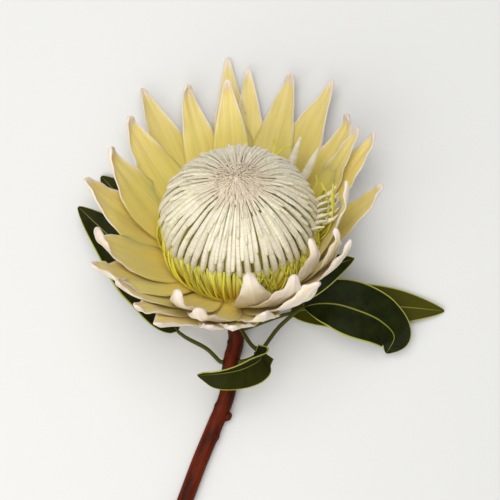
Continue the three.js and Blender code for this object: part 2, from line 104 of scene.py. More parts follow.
# longer ones that peep out under the front bracts
SKIRT = {
    "turns": (96, 106, 117, 126, 137, 146, 155, 165, 174, 186),
    "radius": 14, "drop": 64.5, "length": 48, "width": 5, "lean": (74, 50),
}
# outline of the cushion that carries them
CUSHION = ((2, -67.9), (7.6, -67.8), (12, -65.6), (15.5, -63.6), (16.8, -61.6), (2, -61.4))

# ---- florets ----
# outline of the floret dome from under its rim to its middle: radius and height in mm
DOME_LINE = ((46.5, -14), (47.8, -7), (46, 2), (38.5, 15), (27, 26), (15, 31.5), (5, 33.3), (0, 33.5))
FLORETS = 52  # round the rim
FINGER_FILL = 0.36  # radius of a finger as a share of the space between two
# fingers by ring: count, nearest and furthest place of their ends from the start of the dome's
# outline and how far along it they dive in mm, bulk against the rim's own
FINGER_RINGS = (
    (52, 0, 8, 52, 1.0), (50, 12, 29, 60, 0.95), (48, 25, 44, 66, 0.9), (44, 40, 53, 70, 0.9),
    (30, 50, 59, 73, 0.8),
)
FINGER_TAPER = 7 * MM  # length over which a finger grows to its full thickness
WHORL = (184, 10)  # turn and millimetres from the dome's pole to the middle of its whorl
CROWN = {"count": 230, "radius": 17, "length": 3.4, "width": 1.4}  # small tips over the middle
CORE_DEPTH = 2.6 * MM  # of the dome's closed core under its outline
TUBE_LINE = ((46, -9), (46, -17), (43.5, -28), (38, -38.5))
INNER_TUBES = 1.2 * MM  # how far in the thinner tubes stand, between the others
TUBE_CORE = ((2, -34.5), (30, -36), (34.5, -37.5), (38, -28), (40.5, -16), (40.5, -9.5), (2, -8.5))
# fine threads that stand free: turns, how many, line, width mm, how much they cross, and the share
# by which their feet gather towards the front
THREADS = (
    (96, 178, 44, ((45, -8), (48.5, -14), (49, -25), (40, -38.5)), 1.2, 0.35, 0.15),
    (190, 262, 20, ((46, -9), (49, -17), (48, -28), (41.5, -38)), 1.1, 0.12, 0.4),
    (62, 100, 16, ((44, -8), (49, -9), (53, -2), (53, 4)), 1.1, 0.35, 0.0),
    (262, 320, 16, ((46, -6), (49.5, -12), (48, -26), (40, -38.5)), 1.2, 0.1, 0.0),
    (86, 104, 6, ((42, -26), (52, -14), (56, 4), (55, 24)), 1.1, 0.2, 0.0),
    (22, 30, 3, ((44, -4), (50, 2), (55, 6), (57, 9)), 1.0, 0.3, 0.0),
)
THREAD_FRONT = 183  # turn that gathered feet run to
TUBE_PULL = 0.35  # share by which the front tubes' feet gather there
# opened limbs and spears beside the dome: turns, line, width mm
OPEN_LIMBS = (
    ((80, 86, 92, 98, 104, 110), ((43, -5), (47, -1), (50, 1), (53.5, 2.5)), 3.0),
    ((78, 84, 90, 96, 102), ((51, -2), (54.5, 1), (57, 3), (59.5, 7)), 3.2),
    ((38, 52), ((48, -6), (53, 1), (57, 8), (61, 15)), 7),
)

# ---- stem and leaves, as in the solids ----
STEM_RADIUS = 5.1 * MM
STEM_BEND = 10 * MM  # how far it runs straight on from the head
STEM_SWELL = 0.12  # share of it over which it narrows from the neck
STEM_LENGTH = 190 * MM
STEM_GAP = 0.3 * MM  # to the head above it, and to each petiole
STEM_LINE = (
    (3.5, 31, 6.4), (4.2, 18, 4.7), (0.4, 2, 4.7), (-1.7, -17, 4.7),
    (-10, -38, 4.7), (-19, -60, 4.7), (-28, -84, 4.7), (-47, -133, 4.7),
)
STEM_SCARS = (0.18, 0.23, 0.28, 0.35, 0.4, 0.44, 0.52, 0.6, 0.69, 0.78, 0.86, 0.93)
BUD_ALONG = 0.63
BUD_SIZE = 3.4 * MM
PETIOLE_RADIUS = 1.3 * MM
LEAF_THICK = 1.1 * MM
LEAF_LENGTH = 90 * MM  # of a usual blade, for the scale of its pattern
# share of the stem where it grows, line in mm, where the blade starts, width mm, way the face
# looks, height of the margin's wave in mm, number of waves, fold along the midrib, how brown
LEAVES = {
    "leaf_front": (
        0.25, ((8, 24, 16), (13, 17, 28), (19, 10, 37), (9, 4, 44), (-5, 1, 47), (-19, -0.5, 45)),
        0.51, 27, (0, -0.62, 0.79), 1.5, 1.5, 36, 0.25),
    "leaf_right_large": (
        0.42, ((17, 8, 9), (32, 27, 12), (48, 39, 13), (64, 41, 17), (80, 37, 19), (95, 30, 16),
               (104, 20, 10), (100, 9.5, 6)),
        0.44, 36, (0.1, 0.25, 1), 2, 1.5, 8, 0.0),
    "leaf_right_olive": (
        0.28, ((36, 34, 5), (66, 39, 5), (104, 39, 4), (137, 36, 2)),
        0.42, 28, (0, 0.1, 1), 1.5, 1, 6, 1.0),
    "leaf_right_small": (
        0.18, ((26, 41, 12), (44, 54, 17), (61, 64, 26), (77, 70, 38)),
        0.4, 24, (-0.5, -0.3, 1), 1.5, 1, 8, 0.0),
    "leaf_left_lower": (
        0.44, ((-14, 12, 9), (-33, 24, 13), (-50, 54, 16), (-68, 76, 18), (-95, 102, 16)),
        0.5, 38, (0.2, 0, 1), 2, 1.5, 8, 0.1),
    "leaf_left_upper": (
        0.23, ((-20, 48, 3.5), (-40, 74, 3), (-62, 100, 3), (-82, 122, 2)),
        0.34, 40, (0.1, 0.1, 1), 2, 1, 6, 0.2),
}

# ---- stage ----
LIGHT_TARGET = (0, 0.08, 0.05)
KEY_PLACE = (-0.1, 0.45, 1.25)
KEY_SIZE = 0.9
FILL_PLACE = (-0.4, -0.5, 0.9)
FILL_SIZE = 1.2
CAMERA_OVER = (0.013, 0.075)  # the point of the surface that it looks straight down at


def linear(hex_colour):
    """The linear colour, with alpha, of an sRGB hex value such as "#d8c46a"."""
    parts = [int(hex_colour[i:i + 2], 16) / 255 for i in (1, 3, 5)]
    return tuple(c / 12.92 if c <= 0.04045 else ((c + 0.055) / 1.055) ** 2.4 for c in parts) + (1.0,)


def colour_property(name, hex_colour, description):
    """A colour of the panel, with an sRGB hex value as its default."""
    return bpy.props.FloatVectorProperty(
        name=name, description=description, size=4, subtype="COLOR", min=0, max=1, default=linear(hex_colour))


def length_property(name, metres, description):
    """A length of the panel, in metres."""
    return bpy.props.FloatProperty(
        name=name, description=description, default=metres, min=0, unit="LENGTH", subtype="DISTANCE",
        precision=5)


# ---- ways and places ----
AXIS = np.array((0.0, 0.0, 1.0))


def smooth(low, high, value):
    """0 below low and 1 above high, eased between them."""
    t = np.clip((value - low) / (high - low), 0, 1)
    return t * t * (3 - 2 * t)


def unit(vectors):
    """The vectors, each at length 1."""
    return vectors / np.maximum(np.linalg.norm(vectors, axis=-1, keepdims=True), 1e-12)


def outward(turn):
    """The way out from the head's axis at a turn in radians."""
    turn = np.asarray(turn, float)
    return np.stack((np.sin(turn), np.cos(turn), np.zeros_like(turn)), -1)


def around(turn):
    """The way round the head's axis at a turn in radians."""
    turn = np.asarray(turn, float)
    return np.stack((np.cos(turn), -np.sin(turn), np.zeros_like(turn)), -1)


HEAD = np.array(Matrix.Translation(HEAD_CENTRE) @ Matrix.Rotation(-np.radians(HEAD_TILT), 4, "X"))


def placed(points):
    """Points of the head's own frame, in the world."""
    return np.asarray(points) @ HEAD[:3, :3].T + HEAD[:3, 3]


def turned(vectors):
    """Directions of the head's own frame, in the world."""
    return np.asarray(vectors) @ HEAD[:3, :3].T


def curve_points(controls, shares):
    """Points of a centripetal Catmull-Rom curve through the controls, at shares of its spans."""
    controls = np.asarray(controls, float)
    spans = len(controls) - 1
    found = []
    for share in np.atleast_1d(shares):
        at = share * spans
        i = min(int(at), spans - 1)
        t = at - i
        p1, p2 = controls[i], controls[i + 1]
        p0 = controls[i - 1] if i > 0 else 2 * p1 - p2
        p3 = controls[i + 2] if i + 2 <= spans else 2 * p2 - p1
        d0, d1, d2 = (max(np.linalg.norm(b - a) ** 0.5, 1e-9) for a, b in ((p0, p1), (p1, p2), (p2, p3)))
        m1 = ((p1 - p0) / d0 - (p2 - p0) / (d0 + d1) + (p2 - p1) / d1) * d1
        m2 = ((p2 - p1) / d1 - (p3 - p1) / (d1 + d2) + (p3 - p2) / d2) * d1
        square = 3 * (p2 - p1) - 2 * m1 - m2
        cube = 2 * (p1 - p2) + m1 + m2
        found.append(p1 + m1 * t + square * t ** 2 + cube * t ** 3)
    return np.array(found)


def tangents(points):
    """The way a line of points runs at each point, along its second-last axis."""
    return unit(np.gradient(points, axis=-2))


def ripples(values, rng, waves):
    """A soft run of bumps between about -1 and 1, along values from 0 to 1."""
    total = np.zeros_like(values)
    for wave in waves:
        total = total + np.sin(values * wave * 2 * np.pi + rng.uniform(0, 2 * np.pi)) / len(waves)
    return total


DOME_TRACK = curve_points(np.array(DOME_LINE) * MM, np.linspace(0, 1, 300))
DOME_ALONG = np.append(0, np.linalg.norm(np.diff(DOME_TRACK, axis=0), axis=1).cumsum())
DOME_WAY = tangents(DOME_TRACK)


def dome_point(turn, along, lift):
    """The point of the dome at a turn and a way along its outline from under its rim, lifted off."""
    radius, height, way_out, way_up = (
        np.interp(along, DOME_ALONG, line) for line in (*DOME_TRACK.T, *DOME_WAY.T))
    radius = radius + way_up * lift
    height = height - way_out * lift
    return outward(turn) * radius[..., None] + AXIS * height[..., None]


def whorled(turn, along):
    """The same turns and ways, shifted so that they meet at the middle of the whorl, off the pole."""
    end = DOME_ALONG[-1]
    away = 1 - along / end
    shift = WHORL[1] * MM / end * (1 - away ** 2)
    flat = outward(turn) * away[..., None] + outward(np.radians(WHORL[0])) * shift[..., None]
    return np.arctan2(flat[..., 0], flat[..., 1]), end * (1 - np.linalg.norm(flat, axis=-1))


# ---- meshes ----
def joined(parts):
    """One list of points, one of faces and one table of point values, from several."""
    points, faces, values, start = [], [], {}, 0
    for part_points, part_faces, part_values in parts:
        points.append(part_points)
        faces.extend([tuple(v + start for v in face) for face in part_faces])
        for key, value in part_values.items():
            values.setdefault(key, []).append(value)
        start += len(part_points)
    return np.concatenate(points), faces, {key: np.concatenate(value) for key, value in values.items()}


def mesh_object(name, points, faces, values, edges=()):
    """A new object of world points and faces, with a named value for each point."""
    mesh = bpy.data.meshes.new(name)
    mesh.from_pydata(np.asarray(points).tolist(), edges, faces)
    for key, value in values.items():
        vector = value.ndim == 2
        layer = mesh.attributes.new(key, "FLOAT_VECTOR" if vector else "FLOAT", "POINT")
        layer.data.foreach_set("vector" if vector else "value", value.astype(np.float32).ravel())
    mesh.update()
    obj = bpy.data.objects.new(name, mesh)
    bpy.context.scene.collection.objects.link(obj)
    return obj


def loft(rings, values):
    """A closed skin over rings of points, each ring running anticlockwise seen from its far end.
    Values are given for each point of each ring; both ends are closed by a middle point."""
    count, sides = rings.shape[:2]
    points = np.concatenate((rings.reshape(-1, 3), rings[0].mean(0)[None], rings[-1].mean(0)[None]))
    faces = []
    for i in range(count - 1):
        for j in range(sides):
            k = (j + 1) % sides
            faces.append((i * sides + j, i * sides + k, (i + 1) * sides + k, (i + 1) * sides + j))
    first, last, end = count * sides, count * sides + 1, (count - 1) * sides
    for j in range(sides):
        k = (j + 1) % sides
        faces.append((first, k, j))
        faces.append((last, end + j, end + k))
    table = {}
    for key, value in values.items():
        flat = value.reshape(count * sides, -1)
        full = np.concatenate((flat, value[0].reshape(sides, -1).mean(0)[None],
                               value[-1].reshape(sides, -1).mean(0)[None]))
        table[key] = full[:, 0] if value.ndim == 2 else full
    return points, faces, table


def lathe(profile, sides, values):
    """A closed solid turned about the head's axis, from (radius, height) pairs in millimetres from
    bottom to top, with one value for all of it under each name."""
    turns = np.linspace(0, 2 * np.pi, sides, endpoint=False)
    profile = np.asarray(profile, float) * MM
    rings = outward(-turns)[None] * profile[:, 0, None, None] + AXIS * profile[:, 1, None, None]
    return loft(rings, {key: np.full(rings.shape[:2], float(value)) for key, value in values.items()})


def finished(obj, slot, *nodes, soft=True):
    """Puts a finished piece on its body and in place of its nodes, with soft or faceted shading."""
    obj.data.polygons.foreach_set("use_smooth", [soft] * len(obj.data.polygons))
    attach(obj, BODY)
    if nodes:
        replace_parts(obj, *nodes)
    return obj


def merged_objects(name, objects):
    """Several objects as one, under a new name."""
    with bpy.context.temp_override(active_object=objects[0], selected_editable_objects=list(objects)):
        bpy.ops.object.join()
    objects[0].name = name
    objects[0].data.name = name
    return objects[0]


# ---- node trees ----
def add(tree, kind, links=None, out=0, **settings):
    """Adds a node with its settings, gives each input a value or another node's output, and returns
    one of its own outputs."""
    made = tree.nodes.new(kind)
    for key, value in settings.items():
        setattr(made, key, value)
    for key, value in (links or {}).items():
        if isinstance(value, bpy.types.NodeSocket):
            tree.links.new(value, made.inputs[key])
        else:
            made.inputs[key].default_value = value
    return made.outputs[out] if made.outputs else None


def new_tree(name, inputs):
    """A geometry tree with a geometry in and out, and further named inputs with their defaults."""
    tree = bpy.data.node_groups.new(name, "GeometryNodeTree")
    tree.interface.new_socket("Geometry", in_out="INPUT", socket_type="NodeSocketGeometry")
    for label, (kind, default) in inputs.items():
        socket = tree.interface.new_socket(label, in_out="INPUT", socket_type=kind)
        if default is not None:
            socket.default_value = default
    tree.interface.new_socket("Geometry", in_out="OUTPUT", socket_type="NodeSocketGeometry")
    return tree, tree.nodes.new("NodeGroupInput").outputs


def sweep_tree():
    """Sweeps a soft oval along every line of edges. The lines carry their radius and the way the
    oval's sides look. The skin keeps how far out to its sides each point lies, as "edge"."""
    tree, given = new_tree("Soft fingers along lines", {
        "Sides": ("NodeSocketInt", 8),
        "Flatness": ("NodeSocketFloat", 1.0),
        "Material": ("NodeSocketMaterial", None),
    })
    lines = add(tree, "GeometryNodeMeshToCurve", {0: given["Geometry"]})
    side = add(tree, "GeometryNodeInputNamedAttribute", {"Name": "side"}, data_type="FLOAT_VECTOR")
    lines = add(tree, "GeometryNodeSetCurveNormal", {"Curve": lines, "Normal": side}, mode="FREE")
    radius = add(tree, "GeometryNodeInputNamedAttribute", {"Name": "thick"}, data_type="FLOAT")
    circle = add(tree, "GeometryNodeCurvePrimitiveCircle", {"Resolution": given["Sides"], "Radius": 1.0})
    place = add(tree, "GeometryNodeInputPosition")
    apart = add(tree, "ShaderNodeSeparateXYZ", {0: place}, "X")
    edge = add(tree, "ShaderNodeMath", {0: apart}, operation="ABSOLUTE")
    circle = add(tree, "GeometryNodeStoreNamedAttribute", {"Geometry": circle, "Name": "edge", "Value": edge})
    scale = add(tree, "ShaderNodeCombineXYZ", {"X": 1.0, "Y": given["Flatness"], "Z": 1.0})
    oval = add(tree, "GeometryNodeTransform", {"Geometry": circle, "Scale": scale})
    skin = add(tree, "GeometryNodeCurveToMesh", {
        "Curve": lines, "Profile Curve": oval, "Scale": radius, "Fill Caps": True})
    soft = add(tree, "GeometryNodeSetShadeSmooth", {"Geometry": skin})
    real = add(tree, "GeometryNodeRealizeInstances", {"Geometry": soft})
    dressed = add(tree, "GeometryNodeSetMaterial", {"Geometry": real, "Material": given["Material"]})
    add(tree, "NodeGroupOutput", {0: dressed})
    return tree


def down_tree():
    """Grows short hairs on a surface where its "down" value says, lying along its "flow"."""
    tree, given = new_tree("Down on a surface", {
        "Density": ("NodeSocketFloat", 1e6),
        "Length": ("NodeSocketFloat", 1 * MM),
        "Thickness": ("NodeSocketFloat", 0.1 * MM),
        "Lie": ("NodeSocketFloat", 0.5),
        "Seed": ("NodeSocketInt", 1),
        "Material": ("NodeSocketMaterial", None),
    })
    share = add(tree, "GeometryNodeInputNamedAttribute", {"Name": "down"}, data_type="FLOAT")
    flow = add(tree, "GeometryNodeInputNamedAttribute", {"Name": "flow"}, data_type="FLOAT_VECTOR")
    density = add(tree, "ShaderNodeMath", {0: given["Density"], 1: share}, operation="MULTIPLY")
    roots = add(tree, "GeometryNodeDistributePointsOnFaces", {
        "Mesh": given["Geometry"], "Density": density, "Seed": given["Seed"]}, "Points")
    ruffle = add(tree, "FunctionNodeRandomValue", {
        0: (-0.4, -0.4, -0.4), 1: (0.4, 0.4, 0.4), "Seed": given["Seed"]}, data_type="FLOAT_VECTOR")
    along = add(tree, "ShaderNodeVectorMath", {0: flow, "Scale": given["Lie"]}, operation="SCALE")
    leaning = add(tree, "ShaderNodeVectorMath", {0: roots.node.outputs["Normal"], 1: along}, operation="ADD")
    way = add(tree, "ShaderNodeVectorMath", {0: leaning, 1: ruffle}, operation="ADD")
    stand = add(tree, "FunctionNodeAlignRotationToVector", {"Vector": way}, axis="Z")
    size = add(tree, "FunctionNodeRandomValue", {2: 0.6, 3: 1.25, "Seed": given["Seed"]}, 1,
               data_type="FLOAT")
    hair = add(tree, "GeometryNodeMeshCone", {
        "Vertices": 3, "Radius Bottom": given["Thickness"], "Depth": given["Length"]})
    hairs = add(tree, "GeometryNodeInstanceOnPoints", {
        "Points": roots, "Instance": hair, "Rotation": stand, "Scale": size})
    real = add(tree, "GeometryNodeRealizeInstances", {"Geometry": hairs})
    dressed = add(tree, "GeometryNodeSetMaterial", {"Geometry": real, "Material": given["Material"]})
    add(tree, "NodeGroupOutput", {0: dressed})
    return tree


def grown(obj, tree, **values):
    """Runs a geometry tree on an object, with its inputs by label, and keeps the plain mesh."""
    modifier = obj.modifiers.new(tree.name, "NODES")
    modifier.node_group = tree
    for socket in tree.interface.items_tree:
        if socket.in_out == "INPUT" and socket.name in values:
            modifier[socket.identifier] = values[socket.name]
    evaluated = obj.evaluated_get(bpy.context.evaluated_depsgraph_get())
    mesh = bpy.data.meshes.new_from_object(evaluated)
    obj.modifiers.remove(modifier)
    bare = obj.data
    obj.data = mesh
    bpy.data.meshes.remove(bare)
    mesh.name = obj.name
    return obj


def grow_down(name, surface, **values):
    """The down of a finished piece, as a piece of its own on the same body."""
    down = surface.copy()
    down.data = surface.data.copy()
    down.name = name
    bpy.context.scene.collection.objects.link(down)
    if "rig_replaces" in down:
        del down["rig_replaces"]
    return grown(down, down_tree(), **values)


FLORET_VALUES = ("middle", "deep", "fresh", "down")  # zero where a floret's path doesn't give them


def swept(name, paths, sides, flatness, material):
    """A mesh of soft fingers: paths is a list of (points, thickness, side, values) with rows of
    points per finger, all in the world."""
    points, edges, values, start = [], [], {}, 0
    for line, thick, side, extra in paths:
        count, steps = line.shape[:2]
        points.append(line.reshape(-1, 3))
        ids = np.arange(start, start + count * steps).reshape(count, steps)
        edges.extend(np.stack((ids[:, :-1].ravel(), ids[:, 1:].ravel()), -1).tolist())
        start += count * steps
        along = np.broadcast_to(np.linspace(0, 1, steps), (count, steps))
        forward = tangents(line)
        square = unit(side - forward * (side * forward).sum(-1, keepdims=True))
        table = {key: np.zeros((count, steps)) for key in FLORET_VALUES}
        table |= {"thick": thick, "side": square, "along": along, "flow": forward, **extra}
        for key, value in table.items():
            values.setdefault(key, []).append(np.asarray(value).reshape(count * steps, -1))
    values = {key: np.concatenate(v) for key, v in values.items()}
    values = {key: v[:, 0] if v.shape[1] == 1 else v for key, v in values.items()}
    obj = mesh_object(name, np.concatenate(points), (), values, edges)
    return grown(obj, sweep_tree(), Sides=sides, Flatness=flatness, Material=material)


# ---- materials ----
def new_material(name):
    """An empty material and its tree."""
    material = bpy.data.materials.new(name)
    material.use_nodes = True
    material.node_tree.nodes.clear()
    return material, material.node_tree


def bract_inside(tree, look, along, side, lines, cloud):
    """The colour of a bract's inner face: a golden foot lifted with painted light, a pale top, and painted
    shade along its margins.
    """
    # painted light: the golden foot is painted lighter to make up for the shade that falls on it
    low = add(tree, "ShaderNodeMapRange", {0: along, 1: 0.02, 2: 0.45}, interpolation_type="SMOOTHSTEP")
    face = add(tree, "ShaderNodeMix", {0: low, 6: look.bract_foot_and_painted_light, 7: look.bract_face}, 2, data_type="RGBA")
    high = add(tree, "ShaderNodeMapRange", {0: along, 1: 0.5, 2: 0.97}, interpolation_type="SMOOTHSTEP")
    face = add(tree, "ShaderNodeMix", {0: high, 6: face, 7: look.bract_pale}, 2, data_type="RGBA")
    face = add(tree, "ShaderNodeMix", {0: lines, 6: face, 7: look.bract_vein}, 2,
               data_type="RGBA", blend_type="MULTIPLY")
    patch = add(tree, "ShaderNodeMapRange", {0: cloud, 1: 0.3, 2: 0.7, 4: 0.22},
                interpolation_type="SMOOTHSTEP")
    face = add(tree, "ShaderNodeMix", {0: patch, 6: face, 7: look.bract_pale}, 2, data_type="RGBA")
    # painted shade: the inner face darkens along its margins, standing in for the thin shadow where bracts
    # overlap
    line = add(tree, "ShaderNodeMapRange", {0: side, 1: 0.9, 2: 1.0, 4: 0.45},
               interpolation_type="SMOOTHSTEP")
    return add(tree, "ShaderNodeMix", {0: line, 6: face, 7: look.bract_line}, 2, data_type="RGBA")


def bract_outside(tree, look, along, lines, blush):
    """The colour of a bract's outer face, paler than the inner one and flushed in patches."""
    rise = add(tree, "ShaderNodeMapRange", {0: along, 1: 0.12, 2: 0.55}, interpolation_type="SMOOTHSTEP")
    back = add(tree, "ShaderNodeMix", {0: rise, 6: look.bract_face, 7: look.bract_back}, 2, data_type="RGBA")
    back = add(tree, "ShaderNodeMix", {0: lines, 6: back, 7: look.bract_vein}, 2,
               data_type="RGBA", blend_type="MULTIPLY")
    return add(tree, "ShaderNodeMix", {0: blush, 6: back, 7: look.felt_pink}, 2, data_type="RGBA")


def bract_felt(tree, along, side, hooked, cloud):
    """How much white felt covers a place: most on the tip and on the margins' free part."""
    ragged = add(tree, "ShaderNodeMath", {0: cloud, 1: 0.16}, operation="MULTIPLY")
    reach = add(tree, "ShaderNodeMath", {0: side, 1: ragged}, operation="ADD")
    margin = add(tree, "ShaderNodeMapRange", {0: reach, 1: 0.97, 2: 1.05}, interpolation_type="SMOOTHSTEP")
    free = add(tree, "ShaderNodeMapRange", {0: along, 1: 0.5, 2: 0.68}, interpolation_type="SMOOTHSTEP")
    margin = add(tree, "ShaderNodeMath", {0: margin, 1: free}, operation="MULTIPLY")
    start = add(tree, "ShaderNodeMath", {0: hooked, 1: -0.04}, operation="MULTIPLY")
    start = add(tree, "ShaderNodeMath", {0: start, 1: 0.91}, operation="ADD")
    tip = add(tree, "ShaderNodeMapRange", {0: along, 1: start, 2: 0.985}, interpolation_type="SMOOTHSTEP")
    felt = add(tree, "ShaderNodeMath", {0: margin, 1: tip}, operation="MAXIMUM")
    return add(tree, "ShaderNodeMath", {0: felt, 1: 0.9}, operation="MULTIPLY")


def bract_material(look):
    """Waxy bract skin: a firm petal with fine lengthwise veins, golden at the foot, where painted light lifts
    it, and pale above, with painted shade inside its margins. Its free margins, tip and back wear a thin
    white felt that catches the light softly."""
    material, tree = new_material("Waxy bract with felted margins")
    along, across, inner, shade, hooked = (
        add(tree, "ShaderNodeAttribute", out="Fac", attribute_name=name)
        for name in ("along", "across", "inner", "shade", "hooked"))
    skin = add(tree, "ShaderNodeAttribute", out="Vector", attribute_name="skin")
    drawn = add(tree, "ShaderNodeMapping", {"Vector": skin, "Scale": (1, 0.035, 1)})
    veins = add(tree, "ShaderNodeTexNoise", {"Vector": drawn, "Scale": 1 / (1.3 * MM), "Detail": 3.0})
    wide = add(tree, "ShaderNodeMapping", {"Vector": skin, "Scale": (1, 0.4, 1)})
    cloud = add(tree, "ShaderNodeTexNoise", {"Vector": wide, "Scale": 1 / (14 * MM), "Detail": 2.0})
    place = add(tree, "ShaderNodeTexCoord", out="Object")
    nap = add(tree, "ShaderNodeTexNoise", {"Vector": place, "Scale": 1 / (0.5 * MM), "Detail": 2.0})
    side = add(tree, "ShaderNodeMath", {0: across}, operation="ABSOLUTE")
    lines = add(tree, "ShaderNodeMapRange", {0: veins, 1: 0.35, 2: 0.75, 4: 0.3},
                interpolation_type="SMOOTHSTEP")
    blush = add(tree, "ShaderNodeMapRange", {0: cloud, 1: 0.45, 2: 0.7, 4: 0.6},
                interpolation_type="SMOOTHSTEP")

    face = bract_inside(tree, look, along, side, lines, cloud)
    back = bract_outside(tree, look, along, lines, blush)
    felt = bract_felt(tree, along, side, hooked, cloud)
    colour = add(tree, "ShaderNodeMix", {0: inner, 6: back, 7: face}, 2, data_type="RGBA")
    colour = add(tree, "ShaderNodeMix", {0: felt, 6: colour, 7: look.felt}, 2, data_type="RGBA")
    blush = add(tree, "ShaderNodeMath", {0: felt, 1: blush}, operation="MULTIPLY")
    colour = add(tree, "ShaderNodeMix", {0: blush, 6: colour, 7: look.felt_pink}, 2, data_type="RGBA")
    own = add(tree, "ShaderNodeMapRange", {0: shade, 3: 0.9, 4: 1.04})
    colour = add(tree, "ShaderNodeVectorMath", {0: colour, "Scale": own}, operation="SCALE")
    relief = add(tree, "ShaderNodeMath", {0: nap, 1: 0.3}, operation="MULTIPLY")
    relief = add(tree, "ShaderNodeMath", {0: relief, 1: veins}, operation="ADD")
    bump = add(tree, "ShaderNodeBump", {"Strength": 0.35, "Distance": 0.25 * MM, "Height": relief})
    shader = add(tree, "ShaderNodeBsdfPrincipled", {
        "Base Color": colour, "Roughness": 0.52, "IOR": 1.45, "Sheen Weight": 0.18, "Sheen Roughness": 0.5,
        "Subsurface Weight": 0.35, "Subsurface Radius": (1.0, 0.8, 0.3), "Subsurface Scale": 3 * MM,
        "Normal": bump})
    add(tree, "ShaderNodeOutputMaterial", {"Surface": shader})
    return material


def down_material(look):
    """Plant down: fine white hairs, soft and without gloss."""
    material, tree = new_material("White plant down")
    shader = add(tree, "ShaderNodeBsdfPrincipled", {
        "Base Color": look.felt, "Roughness": 0.8, "IOR": 1.5, "Sheen Weight": 0.3})
    add(tree, "ShaderNodeOutputMaterial", {"Surface": shader})
    return material


def limb_material(look):
    """Silky perianth limb: pinkish cream skin under hairs that lie along it in fine light and dark
    lines, with a yellower edge along each side and dark shade between the limbs."""
    material, tree = new_material("Silky floret limb")
    along, shade, middle, side, deep = (
        add(tree, "ShaderNodeAttribute", out="Fac", attribute_name=name)
        for name in ("along", "shade", "middle", "edge", "deep"))
    lie = add(tree, "ShaderNodeAttribute", out="Vector", attribute_name="grain")
    hairs = add(tree, "ShaderNodeTexNoise", {"Vector": lie, "Scale": 1.0, "Detail": 3.0})
    place = add(tree, "ShaderNodeTexCoord", out="Object")
    grain = add(tree, "ShaderNodeTexNoise", {"Vector": place, "Scale": 1 / (0.6 * MM), "Detail": 2.0})

    high = add(tree, "ShaderNodeMapRange", {0: along, 1: 0.0, 2: 0.25}, interpolation_type="SMOOTHSTEP")
    edge = add(tree, "ShaderNodeMapRange", {0: side, 1: 0.55, 2: 0.95, 4: 0.75},
               interpolation_type="SMOOTHSTEP")
    colour = look.limb_end
    for share, layer in ((high, look.limb), (middle, look.limb_pink), (edge, look.limb_edge)):
        colour = add(tree, "ShaderNodeMix", {0: share, 6: colour, 7: layer}, 2, data_type="RGBA")
    lines = add(tree, "ShaderNodeMapRange", {0: hairs, 1: 0.35, 2: 0.7, 4: 0.3},
                interpolation_type="SMOOTHSTEP")
    colour = add(tree, "ShaderNodeMix", {0: lines, 6: colour, 7: look.limb_edge}, 2,
                 data_type="RGBA", blend_type="MULTIPLY")
    colour = add(tree, "ShaderNodeMix", {0: deep, 6: colour, 7: look.limb_gap}, 2, data_type="RGBA")
    own = add(tree, "ShaderNodeMapRange", {0: shade, 3: 0.84, 4: 1.05})
    colour = add(tree, "ShaderNodeVectorMath", {0: colour, "Scale": own}, operation="SCALE")
    relief = add(tree, "ShaderNodeMath", {0: hairs, 1: grain}, operation="ADD")
    bump = add(tree, "ShaderNodeBump", {"Strength": 0.5, "Distance": 0.2 * MM, "Height": relief})
    shader = add(tree, "ShaderNodeBsdfPrincipled", {
        "Base Color": colour, "Roughness": 0.7, "IOR": 1.45, "Sheen Weight": 0.4, "Sheen Roughness": 0.4,
        "Normal": bump})
    add(tree, "ShaderNodeOutputMaterial", {"Surface": shader})
    return material


def tube_material(look):
    """Fresh floret tube and style: smooth, juicy and slightly glossy, pale green-yellow to gold."""
    material, tree = new_material("Fresh floret tube")
    along, shade, deep, fresh = (
        add(tree, "ShaderNodeAttribute", out="Fac", attribute_name=name)
        for name in ("along", "shade", "deep", "fresh"))
    low = add(tree, "ShaderNodeMapRange", {0: along, 1: 0.1, 2: 0.95}, interpolation_type="SMOOTHSTEP")
    colour = look.tube_top
    for share, layer in ((low, look.tube_foot), (deep, look.tube_gap), (fresh, look.thread)):
        colour = add(tree, "ShaderNodeMix", {0: share, 6: colour, 7: layer}, 2, data_type="RGBA")
    own = add(tree, "ShaderNodeMapRange", {0: shade, 3: 0.78, 4: 1.1})
    colour = add(tree, "ShaderNodeVectorMath", {0: colour, "Scale": own}, operation="SCALE")
    place = add(tree, "ShaderNodeTexCoord", out="Object")
    grain = add(tree, "ShaderNodeTexNoise", {"Vector": place, "Scale": 1 / (1.2 * MM), "Detail": 2.0})
    bump = add(tree, "ShaderNodeBump", {"Strength": 0.3, "Distance": 0.15 * MM, "Height": grain})
    shader = add(tree, "ShaderNodeBsdfPrincipled", {
        "Base Color": colour, "Roughness": 0.5, "IOR": 1.45, "Subsurface Weight": 0.6,
        "Subsurface Radius": (1.0, 0.9, 0.2), "Subsurface Scale": 3 * MM, "Normal": bump})
    add(tree, "ShaderNodeOutputMaterial", {"Surface": shader})
    return material


